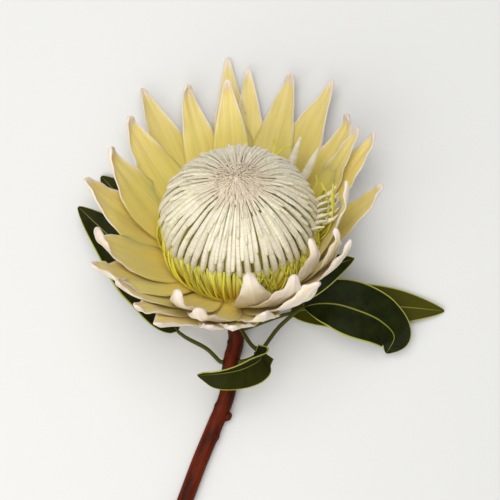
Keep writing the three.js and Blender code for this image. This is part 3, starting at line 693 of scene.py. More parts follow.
def leaf_material(look):
    """Leathery protea leaf: a thick waxed cuticle with soft gloss over a fine net of veins, a pale
    midrib and a thin yellow horny margin."""
    material, tree = new_material("Leathery leaf cuticle")
    across, brown = (
        add(tree, "ShaderNodeAttribute", out="Fac", attribute_name=name) for name in ("across", "brown"))
    skin = add(tree, "ShaderNodeAttribute", out="Vector", attribute_name="skin")
    cloud = add(tree, "ShaderNodeTexNoise", {"Vector": skin, "Scale": 1 / (9 * MM), "Detail": 3.0})
    cells = add(tree, "ShaderNodeTexVoronoi", {"Vector": skin, "Scale": 1 / (3.2 * MM)},
                feature="DISTANCE_TO_EDGE")
    net = add(tree, "ShaderNodeMapRange", {0: cells, 1: 0.0, 2: 0.14, 3: 1.0, 4: 0.0},
              interpolation_type="SMOOTHSTEP")
    side = add(tree, "ShaderNodeMath", {0: across}, operation="ABSOLUTE")
    edge = add(tree, "ShaderNodeMapRange", {0: side, 1: 0.955, 2: 0.985}, interpolation_type="SMOOTHSTEP")
    rib = add(tree, "ShaderNodeMapRange", {0: side, 1: 0.0, 2: 0.045, 3: 0.6, 4: 0.0},
              interpolation_type="SMOOTHSTEP")
    patch = add(tree, "ShaderNodeMapRange", {0: cloud, 1: 0.35, 2: 0.7}, interpolation_type="SMOOTHSTEP")
    veins = add(tree, "ShaderNodeMath", {0: net, 1: 0.3}, operation="MULTIPLY")
    colour = look.leaf
    for share, layer in ((patch, look.leaf_light), (veins, look.leaf_light), (brown, look.leaf_olive),
                         (rib, look.leaf_margin), (edge, look.leaf_margin)):
        colour = add(tree, "ShaderNodeMix", {0: share, 6: colour, 7: layer}, 2, data_type="RGBA")
    relief = add(tree, "ShaderNodeMath", {0: net, 1: -0.6}, operation="MULTIPLY")
    bump = add(tree, "ShaderNodeBump", {"Strength": 0.35, "Distance": 0.2 * MM, "Height": relief})
    shader = add(tree, "ShaderNodeBsdfPrincipled", {
        "Base Color": colour, "Roughness": 0.5, "IOR": 1.45, "Specular IOR Level": 0.08,
        "Normal": bump})
    add(tree, "ShaderNodeOutputMaterial", {"Surface": shader})
    return material


def bark_material(look):
    """Young protea bark: smooth reddish skin with olive streaks, pale flecks and leaf scars, and a
    pale cut face with a ring of bark."""
    material, tree = new_material("Young reddish bark")
    along, cut = (
        add(tree, "ShaderNodeAttribute", out="Fac", attribute_name=name) for name in ("along", "cut"))
    skin = add(tree, "ShaderNodeAttribute", out="Vector", attribute_name="skin")
    drawn = add(tree, "ShaderNodeMapping", {"Vector": skin, "Scale": (1, 0.22, 1)})
    streak = add(tree, "ShaderNodeTexNoise", {"Vector": drawn, "Scale": 1 / (6 * MM), "Detail": 3.0})
    place = add(tree, "ShaderNodeTexCoord", out="Object")
    fleck = add(tree, "ShaderNodeTexNoise", {"Vector": place, "Scale": 1 / (1.1 * MM), "Detail": 2.0})
    red = add(tree, "ShaderNodeMapRange", {0: streak, 1: 0.38, 2: 0.62}, interpolation_type="SMOOTHSTEP")
    near = add(tree, "ShaderNodeMapRange", {0: along, 1: 0.05, 2: 0.42, 3: 1.0, 4: 0.0},
               interpolation_type="SMOOTHSTEP")
    olive = add(tree, "ShaderNodeMapRange", {0: streak, 1: 0.3, 2: 0.5}, interpolation_type="SMOOTHSTEP")
    olive = add(tree, "ShaderNodeMath", {0: near, 1: olive}, operation="MULTIPLY")
    dot = add(tree, "ShaderNodeMapRange", {0: fleck, 1: 0.66, 2: 0.78, 4: 0.5},
              interpolation_type="SMOOTHSTEP")
    colour = look.bark
    for share, layer in ((red, look.bark_red), (olive, look.bark_olive), (dot, look.bark_fleck),
                         (cut, look.wood)):
        colour = add(tree, "ShaderNodeMix", {0: share, 6: colour, 7: layer}, 2, data_type="RGBA")
    relief = add(tree, "ShaderNodeMath", {0: streak, 1: fleck}, operation="ADD")
    bump = add(tree, "ShaderNodeBump", {"Strength": 0.4, "Distance": 0.3 * MM, "Height": relief})
    shader = add(tree, "ShaderNodeBsdfPrincipled", {
        "Base Color": colour, "Roughness": 0.5, "IOR": 1.5, "Specular IOR Level": 0.1, "Normal": bump})
    add(tree, "ShaderNodeOutputMaterial", {"Surface": shader})
    return material


def scale_material(look):
    """Dry felted scale: papery pinkish beige, browner at its foot, without gloss."""
    material, tree = new_material("Dry felted scale")
    along = add(tree, "ShaderNodeAttribute", out="Fac", attribute_name="along")
    place = add(tree, "ShaderNodeTexCoord", out="Object")
    cloud = add(tree, "ShaderNodeTexNoise", {"Vector": place, "Scale": 1 / (2.5 * MM), "Detail": 3.0})
    rise = add(tree, "ShaderNodeMapRange", {0: along, 1: 0.05, 2: 0.6}, interpolation_type="SMOOTHSTEP")
    colour = add(tree, "ShaderNodeMix", {0: rise, 6: look.scale_foot, 7: look.scale_tip}, 2, data_type="RGBA")
    patch = add(tree, "ShaderNodeMapRange", {0: cloud, 1: 0.4, 2: 0.75, 4: 0.6},
                interpolation_type="SMOOTHSTEP")
    colour = add(tree, "ShaderNodeMix", {0: patch, 6: colour, 7: look.scale_foot}, 2, data_type="RGBA")
    bump = add(tree, "ShaderNodeBump", {"Strength": 0.4, "Distance": 0.3 * MM, "Height": cloud})
    shader = add(tree, "ShaderNodeBsdfPrincipled", {
        "Base Color": colour, "Roughness": 0.8, "IOR": 1.45, "Sheen Weight": 0.3, "Normal": bump})
    add(tree, "ShaderNodeOutputMaterial", {"Surface": shader})
    return material


# ---- bracts ----
def bract_width(share, blunt):
    """Width of a bract as a share of its widest, at a share of its length; blunt is what is left of
    it at the tip."""
    low = 0.62 + 0.38 * np.sin(np.clip(share, 0, 0.4) / 0.4 * np.pi / 2)
    high = 1 - (1 - blunt) * (np.clip(share - 0.4, 0, 1) / 0.6) ** 1.25
    rounding = np.sqrt(np.clip(1 - np.clip((share - 0.965) / 0.035, 0, 0.995) ** 2, 0, 1))
    return np.where(share < 0.4, low, high) * rounding


def bract_line(reach, height, lean, hook, row):
    """The middle line of a bract in the plane of its turn: shares of its length, radius and height
    for each, from its root inside the receptacle to its hooked tip, and the length."""
    foot = np.array((FOOT_RADIUS - ROW_INSET * row, -FOOT_DROP - ROW_DROP * row))
    tip = np.array((reach, height)) * MM
    knee = foot + np.array((np.sin(lean), np.cos(lean))) * BELLY * np.linalg.norm(tip - foot)
    t = np.linspace(0, 1, 240)[:, None]
    curve = foot * (1 - t) ** 2 + knee * 2 * t * (1 - t) + tip * t ** 2
    steps = np.diff(curve, axis=0)
    sizes = np.linalg.norm(steps, axis=1)
    length = sizes.sum()
    shares = np.append(0, sizes.cumsum()) / length
    past_start = ((shares[1:] + shares[:-1]) / 2 - HOOK_START) / (1 - HOOK_START)
    ways = np.arctan2(steps[:, 0], steps[:, 1]) - hook * np.clip(past_start, 0, None)
    moves = np.stack((np.sin(ways), np.cos(ways)), -1) * sizes[:, None]
    hooked = foot + np.concatenate((np.zeros((1, 2)), moves.cumsum(0)))
    root = foot - np.array((np.sin(lean), np.cos(lean))) * ROOT_DEPTH
    return np.append(-ROOT_DEPTH / length, shares), np.concatenate((root[None], hooked)), length


def bract_section(s, v, half, lay, lean, radius, hook, rng):
    """How far every point of the bract's middle sheet lies across and inward from its middle line,
    and the slope of the sheet there. It wraps the head low down and cups its tip."""
    wrap = 1.05 * half * np.cos(lean)[:, None] / radius[:, None]
    cup = 0.1 + 0.45 * smooth(0.68, 1.0, s) + 0.15 * hook * smooth(0.85, 1.0, s)
    slope = np.maximum(wrap * (1 - smooth(0.5, 0.8, s)), cup) * v
    rolls = rng.uniform(0.1, 1.3, 2) ** 1.5
    free = smooth(0.58, 0.72, s) * (1 - smooth(0.92, 1.0, s))
    slope = slope + np.where(v < 0, rolls[0], rolls[1]) * free * smooth(0.66, 1.0, np.abs(v)) * np.sign(v)
    slope = slope + lay * (1 - smooth(0.3, 0.6, s)) + np.radians(rng.uniform(-18, 18)) * smooth(0.6, 1.0, s)
    mean = (slope[:, 1:] + slope[:, :-1]) / 2
    zero = np.zeros((len(slope), 1))
    x = np.concatenate((zero, np.cumsum(np.cos(mean) * np.diff(v), 1)), 1) * half
    z = np.concatenate((zero, np.cumsum(np.sin(mean) * np.diff(v), 1)), 1) * half
    centre = len(v) // 2
    x, z = x - x[:, centre:centre + 1], z - z[:, centre:centre + 1]
    open_part = smooth(0.5, 0.7, s) * (1 - smooth(0.88, 1.0, s))
    soft = ripples(s, rng, (1.3, 2.4)) * 0.8 * MM * open_part
    waves = np.where(v < 0, ripples(s, rng, (2.2, 3.7, 5.5)), ripples(s, rng, (2.4, 4.1, 5.9)))
    wave = waves * np.abs(v) ** 3 * 1.5 * MM * open_part
    keel = -0.5 * MM * np.exp(-(v / 0.16) ** 2) * smooth(0.15, 0.4, s)
    crease = 0.14 * MM * np.sin(v * 9 + rng.uniform(0, 6)) * smooth(0.2, 0.4, s) * (1 - smooth(0.8, 0.95, s))
    return x, z + soft + wave + keel + crease, slope


def bract_values(v, s, half, length, hook, forward, rng):
    """The values of a bract's points, in rings that run over its inner face and back behind it."""
    columns = len(v)
    shape = (len(s), 2 * columns + 2)
    across = np.broadcast_to(np.concatenate((v, (1.0,), v[::-1], (-1.0,))), shape)
    inner = np.concatenate((np.ones(columns), (0.5,), np.zeros(columns), (0.5,)))
    inner = np.broadcast_to(inner, shape)
    along = np.broadcast_to(s, shape)
    skin = np.stack((across * half, along * length, inner * 0.2 + rng.uniform(0, 1)), -1)
    margin = smooth(0.9, 1.0, np.abs(across)) * smooth(0.52, 0.68, along)
    felted = np.maximum(margin, smooth(0.92 - 0.04 * hook, 0.98, along))
    felted = np.clip(felted + 0.1 * (1 - inner) * smooth(0.35, 0.6, along), 0, 1)
    return {
        "along": along, "across": across, "inner": inner, "skin": skin, "down": felted,
        "shade": np.full(shape, rng.uniform(0, 1)), "hooked": np.full(shape, hook),
        "flow": np.broadcast_to(turned(forward)[:, None], (*shape, 3)),
    }


def bract_skin(entry, rng, stations=40, columns=15):
    """The closed skin of one bract, in the head's own frame, with its point values."""
    turn, reach, height, width, lean, hook, sway, row = entry
    hook, width = np.radians(hook), width * MM
    track, line, length = bract_line(reach, height, np.radians(lean), hook, row)
    shares = np.concatenate((np.linspace(track[0], 0.9, stations - 10),
                             1 - 0.1 * (1 - np.linspace(0, 1, 11)[1:]) ** 1.5))
    radius, level = (np.interp(shares, track, line[:, axis]) for axis in range(2))
    angle = np.radians(turn - sway * (1 - np.clip(shares, 0, 1)))
    middle = outward(angle) * radius[:, None] + AXIS * level[:, None]
    forward = tangents(middle)
    across = unit(around(angle) - forward * (around(angle) * forward).sum(-1, keepdims=True))
    inward = np.cross(across, forward)

    v = np.linspace(-1, 1, columns)
    s = np.clip(shares, 0, 1)[:, None]
    half = width / 2 * bract_width(s, 0.09 + 0.05 * hook)
    leans = np.arctan2((forward * outward(angle)).sum(-1), forward @ AXIS)
    lay = 0.07 if row % 2 else -0.05
    x, z, slope = bract_section(s, v, half, lay, leans, radius, hook, rng)
    margin_loss = (1 - 0.35 * smooth(0.5, 0.7, s)) * np.abs(v) ** 3 * MM
    tip_gain = (0.3 + 0.4 * hook) * MM * smooth(0.88, 0.98, s)
    thick = BRACT_THICK - margin_loss + tip_gain
    thick = thick * np.sqrt(np.clip(1 - np.clip((s - 0.97) / 0.03, 0, 0.98) ** 2, 0, 1))
    face_x, face_z = -np.sin(slope) * thick / 2, np.cos(slope) * thick / 2
    ends = np.array((-0.45, 0.45)) * thick[:, [0, -1]]
    edge_x = x[:, [0, -1]] + np.cos(slope[:, [0, -1]]) * ends
    edge_z = z[:, [0, -1]] + np.sin(slope[:, [0, -1]]) * ends
    ring_x = np.concatenate((x + face_x, edge_x[:, 1:], (x - face_x)[:, ::-1], edge_x[:, :1]), 1)
    ring_z = np.concatenate((z + face_z, edge_z[:, 1:], (z - face_z)[:, ::-1], edge_z[:, :1]), 1)
    rings = middle[:, None] + across[:, None] * ring_x[..., None] + inward[:, None] * ring_z[..., None]
    values = bract_values(v, s, half, length, hook, forward, rng)
    return loft(rings[:, ::-1], {key: value[:, ::-1] for key, value in values.items()})


def receptacle():
    """The woody cup that all bracts leave, with the same point values as a bract."""
    points, faces, values = lathe(RECEPTACLE, 48, {
        "along": 0.05, "across": 0, "inner": 0, "shade": 0.5, "down": 0, "hooked": 0})
    values["skin"] = points.copy()
    values["flow"] = np.broadcast_to(turned(AXIS), points.shape).copy()
    return points, faces, values


def short_bracts(rng):
    """The shorter bracts that close the gaps between the long ones from outside."""
    entries = []
    for kind in (FILLERS, SHORT_BRACTS):
        for turn in kind["turns"]:
            entries.append((turn, kind["reach"] - rng.uniform(0, 4), kind["height"] + rng.uniform(0, 3),
                            kind["width"], kind["lean"], 0, 0, kind["row"]))
    return entries


class PROTEA_OT_bracts(bpy.types.Operator):
    """Long and short bracts on their receptacle, with down on their margins"""
    bl_idname = "protea.bracts"
    bl_label = "Bracts"

    def execute(self, context):
        look, sizes = context.scene.protea_colours, context.scene.protea_sizes
        rng = np.random.default_rng(sizes.seed)
        parts = [receptacle()] + [bract_skin(entry, rng) for entry in BRACTS]
        parts += [bract_skin(entry, rng, stations=26, columns=9) for entry in short_bracts(rng)]
        points, faces, values = joined(parts)
        points = placed(points)
        points[:, 2] = np.maximum(points[:, 2], FLOOR_CLEAR)
        bracts = mesh_object("bracts", points, faces, values)
        bracts.data.materials.append(bract_material(look))
        finished(bracts, "bract", "involucral_bracts")
        grow_down("bract_down", bracts, Density=7e6, Length=sizes.bract_down, Thickness=HAIR_THICK,
                  Lie=0.7, Seed=sizes.seed, Material=down_material(look))
        return {"FINISHED"}


# ---- florets ----
def floret_turns(seed):
    """The turns of the florets round the rim, in radians, shared by the limbs and their tubes."""
    even = np.arange(FLORETS) / FLORETS * 2 * np.pi
    return even + np.random.default_rng(seed).uniform(-0.014, 0.014, FLORETS)


def limb_paths(seed, rng):
    """The dome's fingers: blunt where they stand over its rim, narrowing as they dive in between
    those nearer its middle."""
    paths = []
    shares = np.array((0, 0.015, 0.04, 0.08, 0.14, 0.22, 0.32, 0.44, 0.56, 0.68, 0.8, 0.9, 1.0))
    for ring, (count, nearest, furthest, dive, bulk) in enumerate(FINGER_RINGS):
        if ring == 0:
            turns = floret_turns(seed)
        else:
            turns = np.arange(count) / count * 2 * np.pi + rng.uniform(-0.03, 0.03, count)
            turns = turns + ring * np.pi / FLORETS
        start = rng.uniform(nearest, furthest, count)[:, None] * MM
        along = start + (dive * rng.uniform(0.94, 1.05, count)[:, None] * MM - start) * shares
        turns = turns[:, None] + rng.uniform(-0.05, 0.05, count)[:, None] * (shares - 0.4)
        radius = np.interp(along, DOME_ALONG, DOME_TRACK[:, 0])
        thick = np.clip(FINGER_FILL * 2 * np.pi * radius / FLORETS * bulk, 0.6 * MM, 2.2 * MM)
        thick = thick * (0.5 + 0.5 * np.clip((along - start) / FINGER_TAPER, 0, 1) ** 0.6)
        thick = thick * rng.uniform(0.82, 1.12, count)[:, None]
        lift = 0.25 * MM - 0.85 * thick - 1.4 * MM * shares ** 2
        lift = lift + rng.uniform(-0.5, 0.5, count)[:, None] * MM
        free = rng.uniform(*((-1.2, 1.2) if ring == 0 else (0.4, 1.4)), count)[:, None]
        lift = lift + free * MM * (1 - smooth(0, 0.24, shares))
        shade = np.broadcast_to(rng.uniform(0, 1, count)[:, None], along.shape)
        grain = np.stack((turns * 60, (along - start) / (1.6 * MM) + shade * 9, shade * 7), -1)
        paths.append((placed(dome_point(*whorled(turns, along), lift)), thick, turned(around(turns)), {
            "shade": shade, "middle": smooth(48 * MM, 64 * MM, along) * 0.8, "grain": grain,
            "down": np.ones(along.shape)}))
    return paths


def crown_paths(rng):
    """The small tips over the dome's middle, each leaning to the middle of the whorl."""
    count = CROWN["count"]
    order = np.arange(count)
    radius = CROWN["radius"] * MM * np.sqrt((order + 0.5) / count)
    inner = DOME_ALONG > DOME_ALONG[DOME_TRACK[:, 0].argmax()]
    start = np.interp(-radius, -DOME_TRACK[inner, 0], DOME_ALONG[inner])[:, None]
    shares = np.array((0, 0.12, 0.4, 0.75, 1.0))
    length = np.minimum(CROWN["length"] * MM * rng.uniform(0.8, 1.15, count)[:, None],
                        (DOME_ALONG[-1] - start) * 0.85)
    along = start + length * shares
    turns = np.radians(order * GOLDEN_ANGLE)[:, None] + rng.uniform(-0.05, 0.05, count)[:, None]
    turns = np.broadcast_to(turns, along.shape)
    near = 1 - smooth(0, 9 * MM, radius)[:, None]
    lift = (-1.3 + 1.7 * shares + near * 1.4 * shares + rng.uniform(-0.3, 0.3, count)[:, None]) * MM
    bulk = np.array((0.5, 0.9, 1.0, 0.95, 0.6))
    thick = CROWN["width"] / 2 * MM * bulk * rng.uniform(0.8, 1.1, count)[:, None] * (1 - 0.25 * near)
    shade = np.broadcast_to(rng.uniform(0, 1, count)[:, None], along.shape)
    grain = np.stack((turns * 20, shares * 3 + shade * 9, shade * 7), -1)
    return placed(dome_point(*whorled(turns, along), lift)), thick, turned(around(turns)), {
        "shade": shade, "middle": np.ones(along.shape), "grain": grain, "down": np.full(along.shape, 0.6)}


def profile_paths(turns, line, width, rng, bulk=(1, 0.5), sway=0.0, gain=0.0, inset=0.0, fresh=0.0,
                  down=0.0):
    """Fingers at given turns in radians through (radius, height) pairs in millimetres. bulk is their
    thickness along them, sway how far a draw slants each one, gain the turn gained by its end."""
    shares = np.linspace(0, 1, 12)
    spline = curve_points(np.array(line, float) * MM, shares)
    turns = np.asarray(turns, float)[:, None] + sway * rng.uniform(-1, 1, (len(turns), 1)) * (shares - 0.5)
    turns = turns + np.reshape(gain, (-1, 1)) * shares ** 1.5
    points = outward(turns) * (spline[:, 0, None] - inset) + AXIS * spline[:, 1, None]
    thick = width / 2 * MM * np.interp(shares, np.linspace(0, 1, len(bulk)), bulk)
    thick = thick * rng.uniform(0.85, 1.12, (len(turns), 1))
    shade = np.broadcast_to(rng.uniform(0, 1, (len(turns), 1)), turns.shape)
    grain = np.stack((turns * 60, shares * 8 + shade * 9, shade * 3), -1)
    return placed(points), thick, turned(around(turns)), {
        "shade": shade, "grain": grain, "fresh": np.full(turns.shape, fresh),
        "down": np.full(turns.shape, down)}


def dome_core():
    """The closed core that the fingers stand out of."""
    along = np.linspace(DOME_ALONG[20], DOME_ALONG[-4], 22)
    line = dome_point(np.zeros_like(along), along, -CORE_DEPTH)
    profile = [(2, -8), (38, -9)] + [(point[1] / MM, point[2] / MM) for point in line]
    points, faces, values = lathe(profile, 52, {
        "along": 1, "shade": 0.3, "middle": 0, "down": 0, "edge": 0, "deep": 1, "fresh": 0})
    values["grain"] = points * 300
    values["flow"] = np.broadcast_to(turned(AXIS), points.shape).copy()
    return mesh_object("dome_core", placed(points), faces, values)


def tube_core():
    """The closed core behind the tubes."""
    points, faces, values = lathe(TUBE_CORE, 52, {"along": 0.6, "shade": 0.5, "deep": 1, "fresh": 0})
    return mesh_object("tube_core", placed(points), faces, values)


class PROTEA_OT_limbs(bpy.types.Operator):
    """The dome of floret limbs, the opened limbs beside it, and their silky hairs"""
    bl_idname = "protea.limbs"
    bl_label = "Floret limbs"

    def execute(self, context):
        look, sizes = context.scene.protea_colours, context.scene.protea_sizes
        rng = np.random.default_rng(sizes.seed + 1)
        paths = limb_paths(sizes.seed, rng)
        paths.append(crown_paths(rng))
        for turns, line, width in OPEN_LIMBS:
            paths.append(profile_paths(
                np.radians(turns), line, width, rng, bulk=(0.9, 1, 0.75, 0.25), down=0.5))
        limbs = swept("floret_limbs_fine", paths, 6, 0.85, limb_material(look))
        core = dome_core()
        core.data.materials.append(limbs.data.materials[0])
        florets = finished(merged_objects("florets", (limbs, core)), "floret", "floret_limbs", soft=False)
        grow_down("floret_down", florets, Density=0.6e6, Length=sizes.limb_down, Thickness=HAIR_THICK,
                  Lie=-1.6, Seed=sizes.seed, Material=down_material(look))
        return {"FINISHED"}


class PROTEA_OT_tubes(bpy.types.Operator):
    """The green-yellow tubes and styles below the dome's rim"""
    bl_idname = "protea.tubes"
    bl_label = "Floret tubes"

    def execute(self, context):
        look, sizes = context.scene.protea_colours, context.scene.protea_sizes
        rng = np.random.default_rng(sizes.seed + 2)
        turns = floret_turns(sizes.seed)
        away = (turns - np.radians(THREAD_FRONT) + np.pi) % (2 * np.pi) - np.pi
        pull = -TUBE_PULL * away * (1 - smooth(0.6, 1.6, np.abs(away)))
        between = turns + np.pi / FLORETS
        paths = [
            profile_paths(turns, TUBE_LINE, 3.4, rng, bulk=(0.9, 1, 0.8, 0.6), gain=pull),
            profile_paths(between, TUBE_LINE, 2.2, rng, bulk=(0.8, 1, 1, 0.9), gain=pull,
                          inset=INNER_TUBES),
        ]
        for first, last, count, line, width, cross, gather in THREADS:
            spread = rng.uniform(first, last, count)
            paths.append(profile_paths(
                np.radians(spread), line, width, rng, bulk=(0.9, 1, 1, 0.9), sway=cross,
                gain=np.radians(THREAD_FRONT - spread) * gather, fresh=1.0))
        tubes = swept("tubes_fine", paths, 7, 0.9, tube_material(look))
        core = tube_core()
        core.data.materials.append(tubes.data.materials[0])
        finished(merged_objects("tubes", (tubes, core)), "style", "floret_tubes")
        return {"FINISHED"}


# ---- basal scales ----
def scale_skin(kind, turn, lower, rng, steps=9):
    """One curled scale, a thin closed blade with a blunt tip; lower is in mm."""
    angle = np.radians(turn)
    out, rounding = outward(angle), around(angle)
    length = kind["length"] * MM * rng.uniform(0.75, 1.0)
    shares = np.linspace(0, 1, steps)
    lean = kind["lean"][0] + (kind["lean"][1] - kind["lean"][0]) * shares + rng.uniform(-6, 6)
    lean = np.radians(lean)[:, None]
    ahead = out * np.sin(lean) + AXIS * np.cos(lean)
    foot = out * kind["radius"] * MM - AXIS * (kind["drop"] + lower) * MM
    middle = foot + np.concatenate((np.zeros((1, 3)), (ahead[1:] * length / (steps - 1)).cumsum(0)))
    inward = np.cross(rounding, ahead)
    half = kind["width"] / 2 * MM * (1 - 0.8 * shares ** 3) * rng.uniform(0.8, 1.1)
    v = np.array((-1, -0.5, 0, 0.5, 1, 1, 0.5, 0, -0.5, -1.0))
    level = np.array((1, 1, 1, 1, 1, -1, -1, -1, -1, -1)) * 0.4 * MM
    cup = (v ** 2)[None] * half[:, None] * rng.uniform(0.3, 0.8)
    rings = (middle[:, None] + rounding * (half[:, None] * v)[..., None]
             + inward[:, None] * (level[None] * (1 - 0.6 * shares[:, None] ** 3) + cup)[..., None])
    return loft(rings[:, ::-1], {"along": np.broadcast_to(shares[:, None], rings.shape[:2]).copy()})


class PROTEA_OT_scales(bpy.types.Operator):
    """The small dry scales under the head, on the swollen top of the stem"""
    bl_idname = "protea.scales"
    bl_label = "Basal scales"

    def execute(self, context):
        look, sizes = context.scene.protea_colours, context.scene.protea_sizes
        rng = np.random.default_rng(sizes.seed + 3)
        parts = [lathe(CUSHION, 32, {"along": 0})]
        for i in range(SCALES["count"]):
            lower = SCALES_RISE * i / SCALES["count"]
            parts.append(scale_skin(SCALES, SCALES["first"] + i * GOLDEN_ANGLE, lower, rng))
        parts += [scale_skin(SKIRT, turn, 0, rng) for turn in SKIRT["turns"]]
        points, faces, values = joined(parts)
        scales = mesh_object("basal_scales", placed(points), faces, values)
        scales.data.materials.append(scale_material(look))
        finished(scales, "basal_bract", "basal_bracts")
        return {"FINISHED"}


# ---- stem and leaves ----
def stem_controls():
    """The stem's middle line, as in the solids."""
    top = placed([-AXIS * (NECK_DROP + STEM_GAP), -AXIS * (NECK_DROP + STEM_BEND)])
    return np.concatenate((top, np.array(STEM_LINE) * MM))


def stem_skin(rng):
    """The stem with its leaf scars and a flat cut end, and the values of its points."""
    shares = np.linspace(0, 1, 170)
    line = curve_points(stem_controls(), shares)
    forward = tangents(line)
    side = unit(np.cross(forward, AXIS))
    up = np.cross(side, forward)
    angles = np.linspace(0, 2 * np.pi, 28, endpoint=False)
    radius = STEM_RADIUS + (NECK_RADIUS - STEM_RADIUS) * np.clip(1 - shares / STEM_SWELL, 0, None)
    ring = radius[:, None] * (1 + 0.03 * np.sin(angles * 3 + shares[:, None] * 9))
    for scar in STEM_SCARS:
        where = rng.uniform(0.2, 2.9)
        bump = np.exp(-((shares[:, None] - scar) / 0.009) ** 2 - ((angles - where) / 0.5) ** 2)
        ring = ring + bump * 0.8 * MM
    rings = (line[:, None] + side[:, None] * (ring * np.cos(angles))[..., None]
             + up[:, None] * (ring * np.sin(angles))[..., None])
    rings[..., 2] = np.maximum(rings[..., 2], 0)
    shape = rings.shape[:2]
    skin = np.stack((np.broadcast_to(np.abs(angles - np.pi) * STEM_RADIUS, shape),
                     np.broadcast_to((shares * STEM_LENGTH)[:, None], shape), np.zeros(shape)), -1)
    face = (rings[-1:] - line[-1:, None]) * 0.9 + line[-1:, None]
    rings = np.concatenate((rings, face))
    skin = np.concatenate((skin, skin[-1:]))
    along = np.broadcast_to(np.append(shares, 1)[:, None], rings.shape[:2]).copy()
    cut = np.zeros(along.shape)
    cut[-1] = 1
    return loft(rings[:, ::-1], {"along": along[:, ::-1], "cut": cut[:, ::-1], "skin": skin[:, ::-1]})


def bud_skin():
    """A small pointed bud on the side of the stem."""
    place = curve_points(stem_controls(), [BUD_ALONG])[0]
    centre = place + np.array((STEM_RADIUS, 0, 1 * MM))
    rises = np.linspace(-1.45, 1.45, 11)[:, None, None]
    turns = np.linspace(0, 2 * np.pi, 16, endpoint=False)[:, None]
    way = unit(np.array((0.75, 0.45, 0.3)))
    side = unit(np.cross(way, AXIS))
    other = np.cross(side, way)
    radius = np.cos(rises) * (1 + 0.08 * np.sin(rises * 7)) * BUD_SIZE * 0.9
    rings = (centre + way * np.sin(rises) * 1.1 * BUD_SIZE
             + (side * np.cos(turns) + other * np.sin(turns)) * radius)
    shape = rings.shape[:2]
    return loft(rings, {"along": np.full(shape, 0.6), "cut": np.zeros(shape), "skin": rings.copy()})


class PROTEA_OT_stem(bpy.types.Operator):
    """The woody stem with its leaf scars, bud and cut end"""
    bl_idname = "protea.stem"
    bl_label = "Stem"

    def execute(self, context):
        look, sizes = context.scene.protea_colours, context.scene.protea_sizes
        points, faces, values = joined([stem_skin(np.random.default_rng(sizes.seed + 4)), bud_skin()])
        stem = mesh_object("stem_bark", points, faces, values)
        stem.data.materials.append(bark_material(look))
        finished(stem, "stem", "stem")
        return {"FINISHED"}


def leaf_curve(entry):
    """The control points of a leaf's petiole and midrib, starting squarely off the stem."""
    node, line = entry[:2]
    controls = stem_controls()
    middle = curve_points(controls, [node])[0]
    ahead = unit(np.diff(curve_points(controls, [node - 0.005, node + 0.005]), axis=0))[0]
    out = np.array(line[0]) * MM - middle
    out = unit(out - ahead * (out @ ahead))
    foot = middle + out * (STEM_RADIUS + 0.1 * MM)
    off_stem = middle + out * (STEM_RADIUS + STEM_GAP + PETIOLE_RADIUS)
    return np.concatenate(((foot, off_stem), np.array(line) * MM))


def leaf_skin(entry, rows=64, columns=25):
    """A leaf's blade as a thin closed skin with a raised midrib and a rounded margin."""
    _, _, start, width, face, wave, waves, fold, brown = entry
    shares = np.linspace(0, 1, rows)
    middle = curve_points(leaf_curve(entry), start + (1 - start) * shares)
    ahead = tangents(middle)
    across = unit(np.cross(ahead, unit(np.array(face, float))))
    normal = np.cross(across, ahead)
    half = width / 2 * MM * (0.03 + 0.97 * np.sin(np.pi * shares ** 0.8) ** 0.8)[:, None]
    v = np.linspace(-1, 1, columns)
    u = v[None]
    s = shares[:, None]
    fold = np.radians(fold) * smooth(0, 0.2, s)
    ripple = np.sin(s * waves * 2 * np.pi + np.where(u > 0, 1.2, 0)) * smooth(0, 0.2, 1 - s)
    ripple = ripple * wave * MM * u ** 2
    veins = 0.12 * MM * np.abs(np.sin((s * 14 - np.abs(u) * 1.6) * np.pi)) * smooth(0.1, 0.4, np.abs(u))
    lie = ripple + np.sin(fold) * half * np.sqrt(u ** 2 + 0.01) + veins * smooth(0, 0.1, 1 - s)
    rib = 0.5 * MM * np.exp(-(u / 0.05) ** 2) * (1 - 0.7 * s)
    thick = LEAF_THICK * (1 - 0.35 * np.abs(u) ** 0.5) + 0.25 * MM * smooth(0.93, 1.0, np.abs(u))
    ring_u = np.concatenate((v, (1.03,), v[::-1], (-1.03,)))
    edges = (lie + thick / 2)[:, [0, -1]]
    ring_z = np.concatenate((lie + thick - rib * 0.25, edges[:, 1:], (lie - rib)[:, ::-1], edges[:, :1]), 1)
    ring_x = half * np.cos(fold) * np.clip(ring_u, -1, 1)[None]
    ring_x = ring_x + 0.35 * MM * (np.abs(ring_u) > 1) * np.sign(ring_u)
    rings = middle[:, None] + across[:, None] * ring_x[..., None] + normal[:, None] * ring_z[..., None]
    shape = rings.shape[:2]
    along = np.broadcast_to(s, shape)
    values = {
        "along": along, "across": np.broadcast_to(np.clip(ring_u, -1, 1), shape),
        "skin": np.stack((ring_x, along * LEAF_LENGTH, np.zeros(shape)), -1),
        "brown": np.full(shape, float(brown)),
    }
    return loft(rings, values)


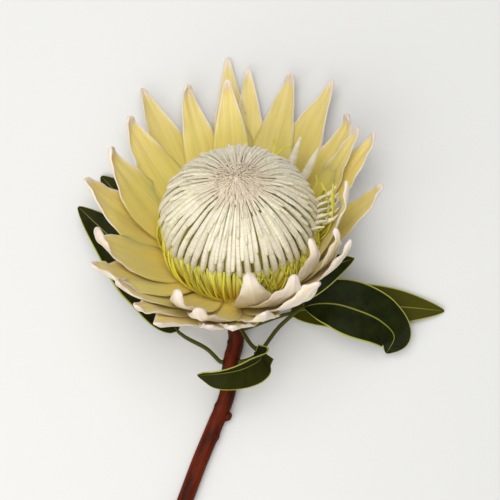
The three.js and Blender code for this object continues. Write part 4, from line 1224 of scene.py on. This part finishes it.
def petiole_skin(entry, rows=26, sides=12):
    """The petiole, which runs on under the blade and thins into its midrib."""
    start = entry[2]
    shares = np.linspace(0, min(start * 1.35, 1), rows)
    line = curve_points(leaf_curve(entry), shares)
    forward = tangents(line)
    side = unit(np.cross(forward, AXIS))
    up = np.cross(side, forward)
    angles = np.linspace(0, 2 * np.pi, sides, endpoint=False)
    radius = PETIOLE_RADIUS * (1 - 0.55 * smooth(start * 0.8, start * 1.35, shares))
    radius = radius[:, None] * (1 + 0.25 * np.exp(-shares / 0.03))[:, None]
    rings = (line[:, None] + side[:, None] * (radius * np.cos(angles))[..., None]
             + up[:, None] * (radius * np.sin(angles))[..., None])
    shape = rings.shape[:2]
    values = {"along": np.zeros(shape), "across": np.full(shape, 0.03), "skin": rings,
              "brown": np.full(shape, float(entry[8]))}
    return loft(rings[:, ::-1], {key: value[:, ::-1] for key, value in values.items()})


class PROTEA_OT_leaves(bpy.types.Operator):
    """The six leathery leaves with their petioles"""
    bl_idname = "protea.leaves"
    bl_label = "Leaves"

    def execute(self, context):
        material = leaf_material(context.scene.protea_colours)
        for node, entry in LEAVES.items():
            points, faces, values = joined([leaf_skin(entry), petiole_skin(entry)])
            points[:, 2] = np.maximum(points[:, 2], FLOOR_CLEAR)
            leaf = mesh_object(node.replace("leaf", "blade"), points, faces, values)
            leaf.data.materials.append(material)
            finished(leaf, "leaf", node)
        return {"FINISHED"}


# ---- stage ----
class PROTEA_OT_stage(bpy.types.Operator):
    """Pale floor, soft lights and the camera"""
    bl_idname = "protea.stage"
    bl_label = "Stage"

    def execute(self, context):
        stage = context.scene.protea_stage
        half = stage.floor_size / 2
        corners = [(-half, -half, 0), (half, -half, 0), (half, half, 0), (-half, half, 0)]
        floor = mesh_object("floor", np.array(corners), [(0, 1, 2, 3)], {})
        material, tree = new_material("Matt paper floor")
        shader = add(tree, "ShaderNodeBsdfPrincipled", {"Base Color": stage.floor, "Roughness": 0.9})
        add(tree, "ShaderNodeOutputMaterial", {"Surface": shader})
        floor.data.materials.append(material)
        world = bpy.data.worlds.new("Soft room")
        world.use_nodes = True
        background = world.node_tree.nodes["Background"]
        background.inputs["Color"].default_value = stage.room_colour
        background.inputs["Strength"].default_value = stage.room
        context.scene.world = world
        for name, place, size, power in (
                ("key", KEY_PLACE, KEY_SIZE, stage.key), ("fill", FILL_PLACE, FILL_SIZE, stage.fill)):
            light = bpy.data.lights.new(name, "AREA")
            light.shape = "DISK"
            light.size = size
            light.energy = power
            lamp = bpy.data.objects.new(name, light)
            lamp.location = place
            way = Vector(LIGHT_TARGET) - Vector(place)
            lamp.rotation_euler = way.to_track_quat("-Z", "Y").to_euler()
            context.scene.collection.objects.link(lamp)
        camera = bpy.data.objects.new("camera", bpy.data.cameras.new("camera"))
        camera.data.lens = stage.lens
        camera.data.sensor_width = 36
        camera.data.clip_start = 0.01
        camera.location = (*CAMERA_OVER, stage.height)
        context.scene.collection.objects.link(camera)
        context.scene.camera = camera
        context.scene.view_settings.view_transform = "Standard"
        return {"FINISHED"}


# ---- panel values ----
class ProteaColours(bpy.types.PropertyGroup):
    """The flower's colours."""
    # golden foot, partly its real colour and partly painted light that lifts it where shade falls
    bract_foot_and_painted_light: colour_property("Bract foot", "#fbdc60", "Inner face near the receptacle")
    bract_face: colour_property("Bract face", "#ddca68", "Inner face along the middle")
    bract_pale: colour_property("Bract top", "#e2d088", "Inner face near the tip")
    # painted shade: darker line along the inner face's margins, for the shadow where bracts overlap
    bract_line: colour_property("Bract margin", "#a8903a", "Line inside the margin of the inner face")
    bract_back: colour_property("Bract back", "#e4d8c2", "Outer face")
    bract_vein: colour_property("Bract vein", "#dccb86", "Fine lengthwise veins")
    felt: colour_property("Felt", "#e4d6c9", "White felt of margins and tips")
    felt_pink: colour_property("Pink felt", "#d2baa6", "Warmer patches of the felt")
    limb: colour_property("Limb", "#e8e0cc", "Floret limb")
    limb_end: colour_property("Limb end", "#dcd59c", "Blunt end of a floret limb")
    limb_edge: colour_property("Limb edge", "#cac48e", "Edges along a floret limb")
    limb_pink: colour_property("Dome middle", "#dccab8", "Tips in the middle of the dome")
    limb_gap: colour_property("Between limbs", "#84762c", "Shade in between the limbs")
    tube_top: colour_property("Tube top", "#f2ec7c", "Floret tubes under the rim")
    tube_foot: colour_property("Tube foot", "#f0d048", "Floret tubes at the receptacle")
    tube_gap: colour_property("Between tubes", "#e4c436", "Shade in between the tubes")
    thread: colour_property("Thread", "#e6d94e", "Free threads round the rim")
    leaf: colour_property("Leaf", "#151903", "Leaf blade")
    leaf_light: colour_property("Leaf light", "#1f2506", "Paler patches and veins of the leaf")
    # an olive-yellow blade, given to one leaf through its brown value
    leaf_olive: colour_property("Olive leaf", "#403e05", "Olive-yellow blade")
    leaf_margin: colour_property("Leaf margin", "#a8a84a", "Horny margin and midrib")
    bark: colour_property("Bark", "#391001", "Bark")
    bark_red: colour_property("Red bark", "#5e1c02", "Sunny side of the bark")
    bark_olive: colour_property("Olive bark", "#302206", "Bark near the head")
    bark_fleck: colour_property("Bark fleck", "#8a5a30", "Small pale flecks")
    wood: colour_property("Cut wood", "#d8c49a", "Cut end")
    scale_foot: colour_property("Scale foot", "#9a7a5c", "Basal scale at its foot")
    scale_tip: colour_property("Scale tip", "#dccbb4", "Basal scale at its tip")


class ProteaSizes(bpy.types.PropertyGroup):
    """The sizes that change the flower's dress."""
    bract_down: length_property("Bract down", 0.9 * MM, "Length of the hairs on bract margins")
    limb_down: length_property("Limb down", 1.0 * MM, "Length of the hairs on floret limbs")
    seed: bpy.props.IntProperty(name="Seed", description="Seed of every random draw", default=7, min=0)


class ProteaStage(bpy.types.PropertyGroup):
    """Floor, light and camera."""
    floor: colour_property("Floor", "#d9d8d4", "Plain pale floor")
    floor_size: length_property("Floor size", 6.0, "Side of the square floor")
    lens: bpy.props.FloatProperty(name="Lens", description="Focal length", default=100, unit="CAMERA")
    height: length_property("Camera height", 0.89, "Camera above the surface")
    room_colour: colour_property("Room colour", "#e4e6ea", "Colour of the light from all round")
    room: bpy.props.FloatProperty(name="Room light", description="Strength of the world", default=0.5, min=0)
    key: bpy.props.FloatProperty(name="Key light", description="Power in watts", default=10, min=0)
    fill: bpy.props.FloatProperty(name="Fill light", description="Power in watts", default=8, min=0)


class PROTEA_PT_panel(bpy.types.Panel):
    """Lists the pieces of the flower and what can be changed"""
    bl_idname = "PROTEA_PT_panel"
    bl_label = "King Protea Flower"
    bl_space_type = "VIEW_3D"
    bl_region_type = "UI"
    bl_category = "Protea"

    def draw(self, context):
        for operator in OPERATORS:
            self.layout.operator(operator.bl_idname)
        for group in (context.scene.protea_sizes, context.scene.protea_colours, context.scene.protea_stage):
            box = self.layout.box()
            for key in group.__annotations__:
                box.prop(group, key)


OPERATORS = (PROTEA_OT_stage, PROTEA_OT_bracts, PROTEA_OT_limbs, PROTEA_OT_tubes, PROTEA_OT_scales,
             PROTEA_OT_stem, PROTEA_OT_leaves)
GROUPS = {"protea_colours": ProteaColours, "protea_sizes": ProteaSizes, "protea_stage": ProteaStage}


def register():
    """Makes the flower's values, operators and panel known to Blender."""
    for made in (*GROUPS.values(), *OPERATORS, PROTEA_PT_panel):
        bpy.utils.register_class(made)
    for name, group in GROUPS.items():
        setattr(bpy.types.Scene, name, bpy.props.PointerProperty(type=group))


def unregister():
    """Takes them away again."""
    for name in GROUPS:
        delattr(bpy.types.Scene, name)
    for made in reversed((*GROUPS.values(), *OPERATORS, PROTEA_PT_panel)):
        bpy.utils.unregister_class(made)


def main():
    """Sets the stage and dresses every piece."""
    register()
    bpy.ops.protea.stage()
    bpy.ops.protea.bracts()
    bpy.ops.protea.limbs()
    bpy.ops.protea.tubes()
    bpy.ops.protea.scales()
    bpy.ops.protea.stem()
    bpy.ops.protea.leaves()
    bpy.context.view_layer.update()


if __name__ == "__main__":
    main()
